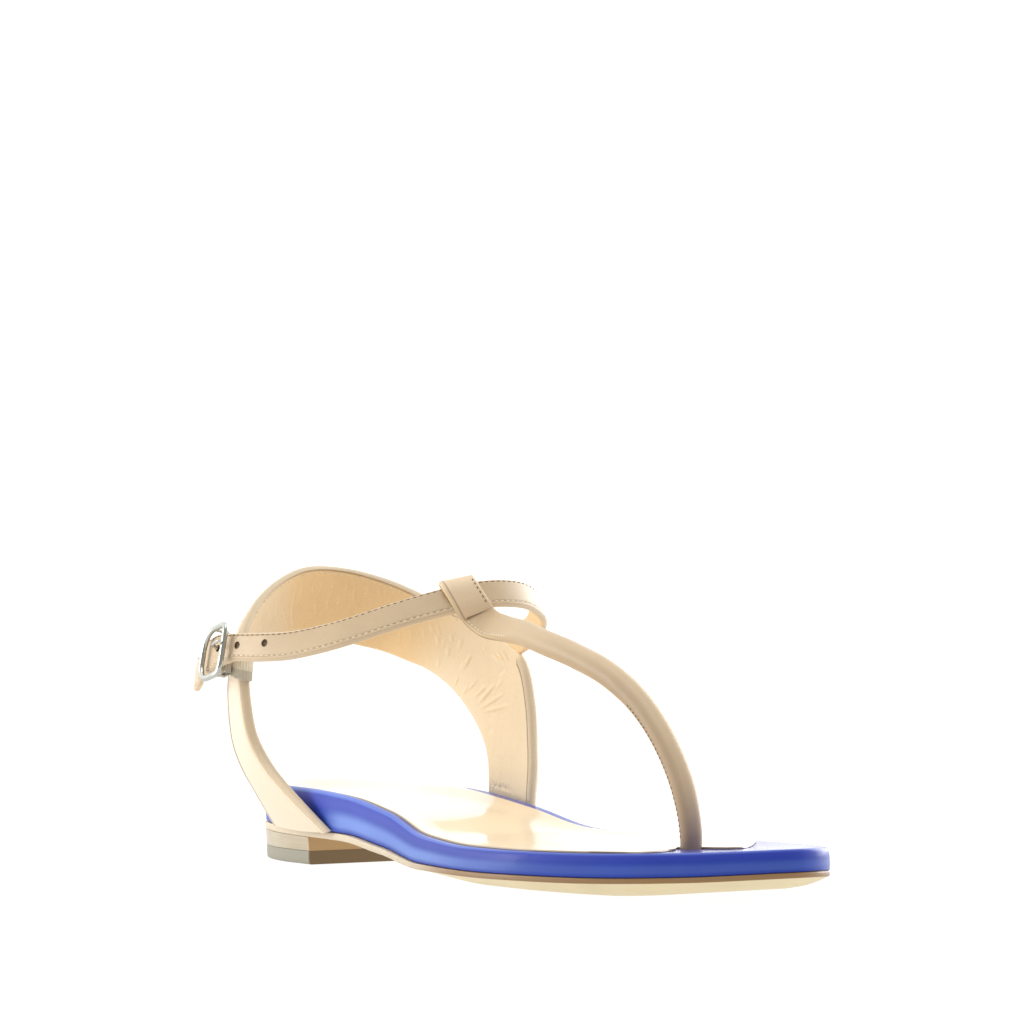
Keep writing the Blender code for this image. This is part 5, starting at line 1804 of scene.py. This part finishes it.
class SANDAL_OT_ankle_strap(bpy.types.Operator):
    """Sews the ankle strap, its two seams and its punched holes."""

    bl_idname = "sandal.ankle_strap"
    bl_label = "Ankle strap"

    def execute(self, context):
        sizes = context.scene.sandal_sizes
        colours = context.scene.sandal_colours
        strip = ankle_strip()
        across = edge_columns(strip, STRAP_MARGINS, STRAP_MIDDLE)
        points, faces, values = closed_strip(strip_sheet(strip, across, strap_relief))
        finish = strap_finish("ankle_strap_leather", colours, sizes)
        strap = make_piece("ankle_strap_leather", points, faces, finish, "upper", values)
        buckle = BUCKLE_ROW * STRAP_SPANS
        # Dark finish of the holes' walls: painted shade
        hole_shade = hole_finish(colours)
        places = [(strip.along[buckle] - PIN_EYE, PIN_UP, PIN_HOLE, THROUGH)]
        for hole in STRAP_HOLES:
            places.append((strip.along[buckle] - hole.gap, hole.up, HOLE_RADIUS, SHALLOW))
        for place, up, radius, deep in places:
            row = int(np.argmin(np.abs(strip.along - place)))
            middle = strip.centre[row] + strip.wide[row] * up
            reach = strip.out[row] * STRAP_WALL
            ends = [middle - deep * reach, middle + reach]
            form = tube_sheet(ends, radius, HOLE_SIDES, flat_way=strip.wide[row])
            rim = {"along": place, "up": STRAP_WIDTH / 2, "low": STRAP_WIDTH / 2, "face": 1.0}
            cut(strap, *form, hole_shade, rim)
        dark = thread_finish("dark_thread", colours.dark_thread)
        light = thread_finish("pale_thread", colours.light_thread)
        span = (STRAP_SEAM_START, strip.along[-1] - STRAP_SEAM_REST)
        path, normals = seam_path(strip, 1, sizes.top_seam, True, strap_relief, *span)
        sew("ankle_strap_top_stitches", path, normals, dark)
        path, normals = seam_path(strip, 1, sizes.low_seam, False, strap_relief, *span)
        sew("ankle_strap_low_stitches", path, normals, light)
        return {"FINISHED"}


class SANDAL_OT_t_strap(bpy.types.Operator):
    """Rolls the T-strap from the toe post to the loop over the ankle strap."""

    bl_idname = "sandal.t_strap"
    bl_label = "T-strap"

    def execute(self, context):
        colours = context.scene.sandal_colours
        strip = tee_strip()
        across = round_columns(strip, TEE_TURNS)
        sheet = strip_sheet(strip, across, tee_relief)
        ring = np.hstack((across, across[:, -2:0:-1]))
        sheet.values["level"] = section(strip, ring) * sheet.values["face"]
        points, faces, values = closed_strip(sheet)
        finish = tee_finish(colours)
        make_piece("t_strap_leather", points, faces, finish, "upper", values)
        dark = thread_finish("loop_thread", colours.dark_thread)
        path, normals = seam_path(strip, -1, LOOP_SEAM_IN, True, tee_relief, *LOOP_SEAM)
        sew("loop_stitches", path, normals, dark, TEE_PITCH)
        pale = thread_finish("edge_thread", colours.light_thread)
        path, normals = seam_path(strip, 1, EDGE_SEAM_IN, False, tee_relief, *EDGE_SEAM)
        sew("t_strap_edge_stitches", path, normals, pale, TEE_PITCH)
        span = (POST_SEAM_START, POST_SEAM_END)
        path, normals = seam_path(strip, -1, POST_SEAM, False, tee_relief, *span)
        lean = strip.wide[(strip.along >= span[0]) & (strip.along <= span[1])]
        sew("t_strap_stitches", path, unit(0.5 * normals - lean), dark, TEE_PITCH)
        return {"FINISHED"}


def buckle_local():
    """Places on the buckle from (along to the tail, up the strap's width, out of the strap)."""
    strip = ankle_strip()
    row = BUCKLE_ROW * STRAP_SPANS

    def local(along, up, outward):
        return (strip.centre[row] + strip.run[row] * along + strip.wide[row] * up
                + strip.out[row] * outward)

    return local, strip.wide[row], strip.out[row], strip.run[row]


class SANDAL_OT_buckle(bpy.types.Operator):
    """Bends the buckle's frame, middle bar and pin."""

    bl_idname = "sandal.buckle"
    bl_label = "Buckle"

    def execute(self, context):
        colours = context.scene.sandal_colours
        local, wide, out, run = buckle_local()
        steel = steel_finish(colours)
        ring = []
        for turn in np.linspace(0, 2 * pi, 120, endpoint=False):
            c, s = cos(turn), sin(turn)
            square = FRAME_SQUARE if c < 0 else FRAME_ROUND
            along = FRAME_HALF_LONG * np.sign(c) * abs(c) ** (2 / square)
            up = FRAME_HALF_TALL * np.sign(s) * abs(s) ** (2 / square)
            lean = FRAME_SHIFT + FRAME_LEAN * up
            ring.append(local(along - lean, up - FRAME_DROP, FRAME_OUT))
        ring = np.array(ring)
        even = np.linspace(0, 1, 161)[:-1]
        around = np.vstack((ring, ring[:1]))
        ring = sample(even, path_share(around), around)
        points, faces = tube_sheet(ring, WIRE_RADIUS, 18, True, 0.86, out)
        make_piece("buckle_frame_wire", points, faces, steel, "buckle_frame")
        top = FRAME_HALF_TALL - FRAME_DROP
        low = -FRAME_HALF_TALL - FRAME_DROP
        corner = BAR_CORNER
        path = [
            local(0, top, FRAME_OUT), local(0, top, corner - BAR_DEPTH + 0.001),
            local(0, top, corner - BAR_DEPTH), local(0, top - corner, -BAR_DEPTH),
            local(0, top - corner - 0.001, -BAR_DEPTH),
            local(0, BAR_FOOT + corner + 0.001, -BAR_DEPTH),
            local(0, BAR_FOOT + corner, -BAR_DEPTH), local(0, BAR_FOOT, corner - BAR_DEPTH),
            local(0, BAR_FOOT, corner - BAR_DEPTH + 0.001), local(0, low, FRAME_OUT),
        ]
        path = smooth_rows(path, 8)
        share = path_share(path)
        radius = BAR_RADIUS * (0.65 + 0.35 * soft_step(np.minimum(share, 1 - share), 0.22, 0.30))
        points, faces = tube_sheet(path, radius, 14, flat_way=run)
        make_piece("buckle_middle_bar", points, faces, steel, "buckle_frame")
        path = []
        for k in range(EYE_POINTS):
            turn = EYE_FIRST + EYE_STEP * k
            path.append(local(PIN_EYE * cos(turn), PIN_UP, PIN_EYE * sin(turn) - BAR_DEPTH))
        path += [local(row.along, PIN_UP, row.out) for row in PIN]
        path = smooth_rows(path, 8)
        share = path_share(path)
        radius = PIN_RADIUS * (1 - 0.25 * soft_step(share, 0.5, 1.0))
        points, faces = tube_sheet(path, radius, 14, flat_way=wide)
        make_piece("buckle_pin", points, faces, steel, "buckle_prong")
        return {"FINISHED"}


class SANDAL_OT_elastic(bpy.types.Operator):
    """Weaves the ribbed elastic tab from the band to the buckle's bar."""

    bl_idname = "sandal.elastic"
    bl_label = "Elastic"

    def execute(self, context):
        sizes = context.scene.sandal_sizes
        colours = context.scene.sandal_colours
        local, wide, out, run = buckle_local()
        reach = BAR_RADIUS + GAP + ELASTIC_WALL / 2
        hook = [at(tab.x, tab.y, tab.z) for tab in ELASTIC_HOOK]
        straight = smooth_rows(hook + [local(0, -FRAME_DROP, -BAR_DEPTH - reach)], 24)
        wrap = [
            local(reach * sin(turn), -FRAME_DROP, -BAR_DEPTH - reach * cos(turn))
            for turn in np.radians(np.linspace(8, 292, 60))
        ]
        path = np.vstack((straight, wrap))
        share = np.minimum(np.arange(len(path)) / (len(straight) - 1), 1.0)[:, None]
        up = unit(UP * (1 - share) + wide * share)
        heading = headings(path)
        outward = unit(np.cross(up, heading))
        count = len(path)
        width = ELASTIC_WIDTH + (SLEEVE_WIDTH - ELASTIC_WIDTH) * share[:, 0]
        wall = np.full(count, ELASTIC_WALL)
        square = np.full(count, STRIP_SQUARE)
        strip = Strip(path, up, outward, heading, lengths(path), width, wall, square, wall * 0, STRIP_BLUNT)

        def ribs(side, along, across, up, low):
            fold = FOLD_DROP * (1 - soft_step(low, *ELASTIC_FOLD))
            return RIBS_RISE * np.sin(2 * pi * along / sizes.rib) - fold

        across = edge_columns(strip, MARGINS[:8], 12)
        points, faces, values = closed_strip(strip_sheet(strip, across, ribs))
        finish = elastic_finish(colours, sizes)
        tab = make_piece("elastic_tab", points, faces, finish, "buckle_elastic", values)
        middle = local(0, PIN_UP, -BAR_DEPTH)
        ends = [middle - wide * PIN_SLOT / 2, middle + wide * PIN_SLOT / 2]
        cut(tab, *tube_sheet(ends, 2 * SLEEVE_RADIUS, HOLE_SIDES, flat_way=run))
        return {"FINISHED"}


OPERATORS = (
    SANDAL_OT_stage, SANDAL_OT_outsole, SANDAL_OT_heel, SANDAL_OT_footbed, SANDAL_OT_sock,
    SANDAL_OT_heel_band, SANDAL_OT_ankle_strap, SANDAL_OT_t_strap, SANDAL_OT_buckle,
    SANDAL_OT_elastic,
)


class SANDAL_PT_pieces(bpy.types.Panel):
    """Sizes, colours and pieces of the sandal."""

    bl_idname = "SANDAL_PT_pieces"
    bl_label = "Sandal"
    bl_space_type = "VIEW_3D"
    bl_region_type = "UI"
    bl_category = "Sandal"

    def draw(self, context):
        layout = self.layout
        for operator in OPERATORS:
            layout.operator(operator.bl_idname)
        for group in (context.scene.sandal_sizes, context.scene.sandal_colours):
            box = layout.box()
            for name in group.__annotations__:
                box.prop(group, name)


CLASSES = (SandalSizes, SandalColours, *OPERATORS, SANDAL_PT_pieces)


def register():
    """Adds the sandal's classes and its settings to Blender."""
    for item in CLASSES:
        bpy.utils.register_class(item)
    bpy.types.Scene.sandal_sizes = PointerProperty(type=SandalSizes)
    bpy.types.Scene.sandal_colours = PointerProperty(type=SandalColours)


def unregister():
    """Takes the sandal's settings and classes away again."""
    del bpy.types.Scene.sandal_colours
    del bpy.types.Scene.sandal_sizes
    for item in reversed(CLASSES):
        bpy.utils.unregister_class(item)


def main():
    """Builds every piece in order."""
    register()
    for piece in (
        bpy.ops.sandal.stage, bpy.ops.sandal.outsole, bpy.ops.sandal.heel, bpy.ops.sandal.footbed,
        bpy.ops.sandal.sock, bpy.ops.sandal.heel_band, bpy.ops.sandal.ankle_strap,
        bpy.ops.sandal.t_strap, bpy.ops.sandal.buckle, bpy.ops.sandal.elastic,
    ):
        piece()


if __name__ == "__main__":
    main()
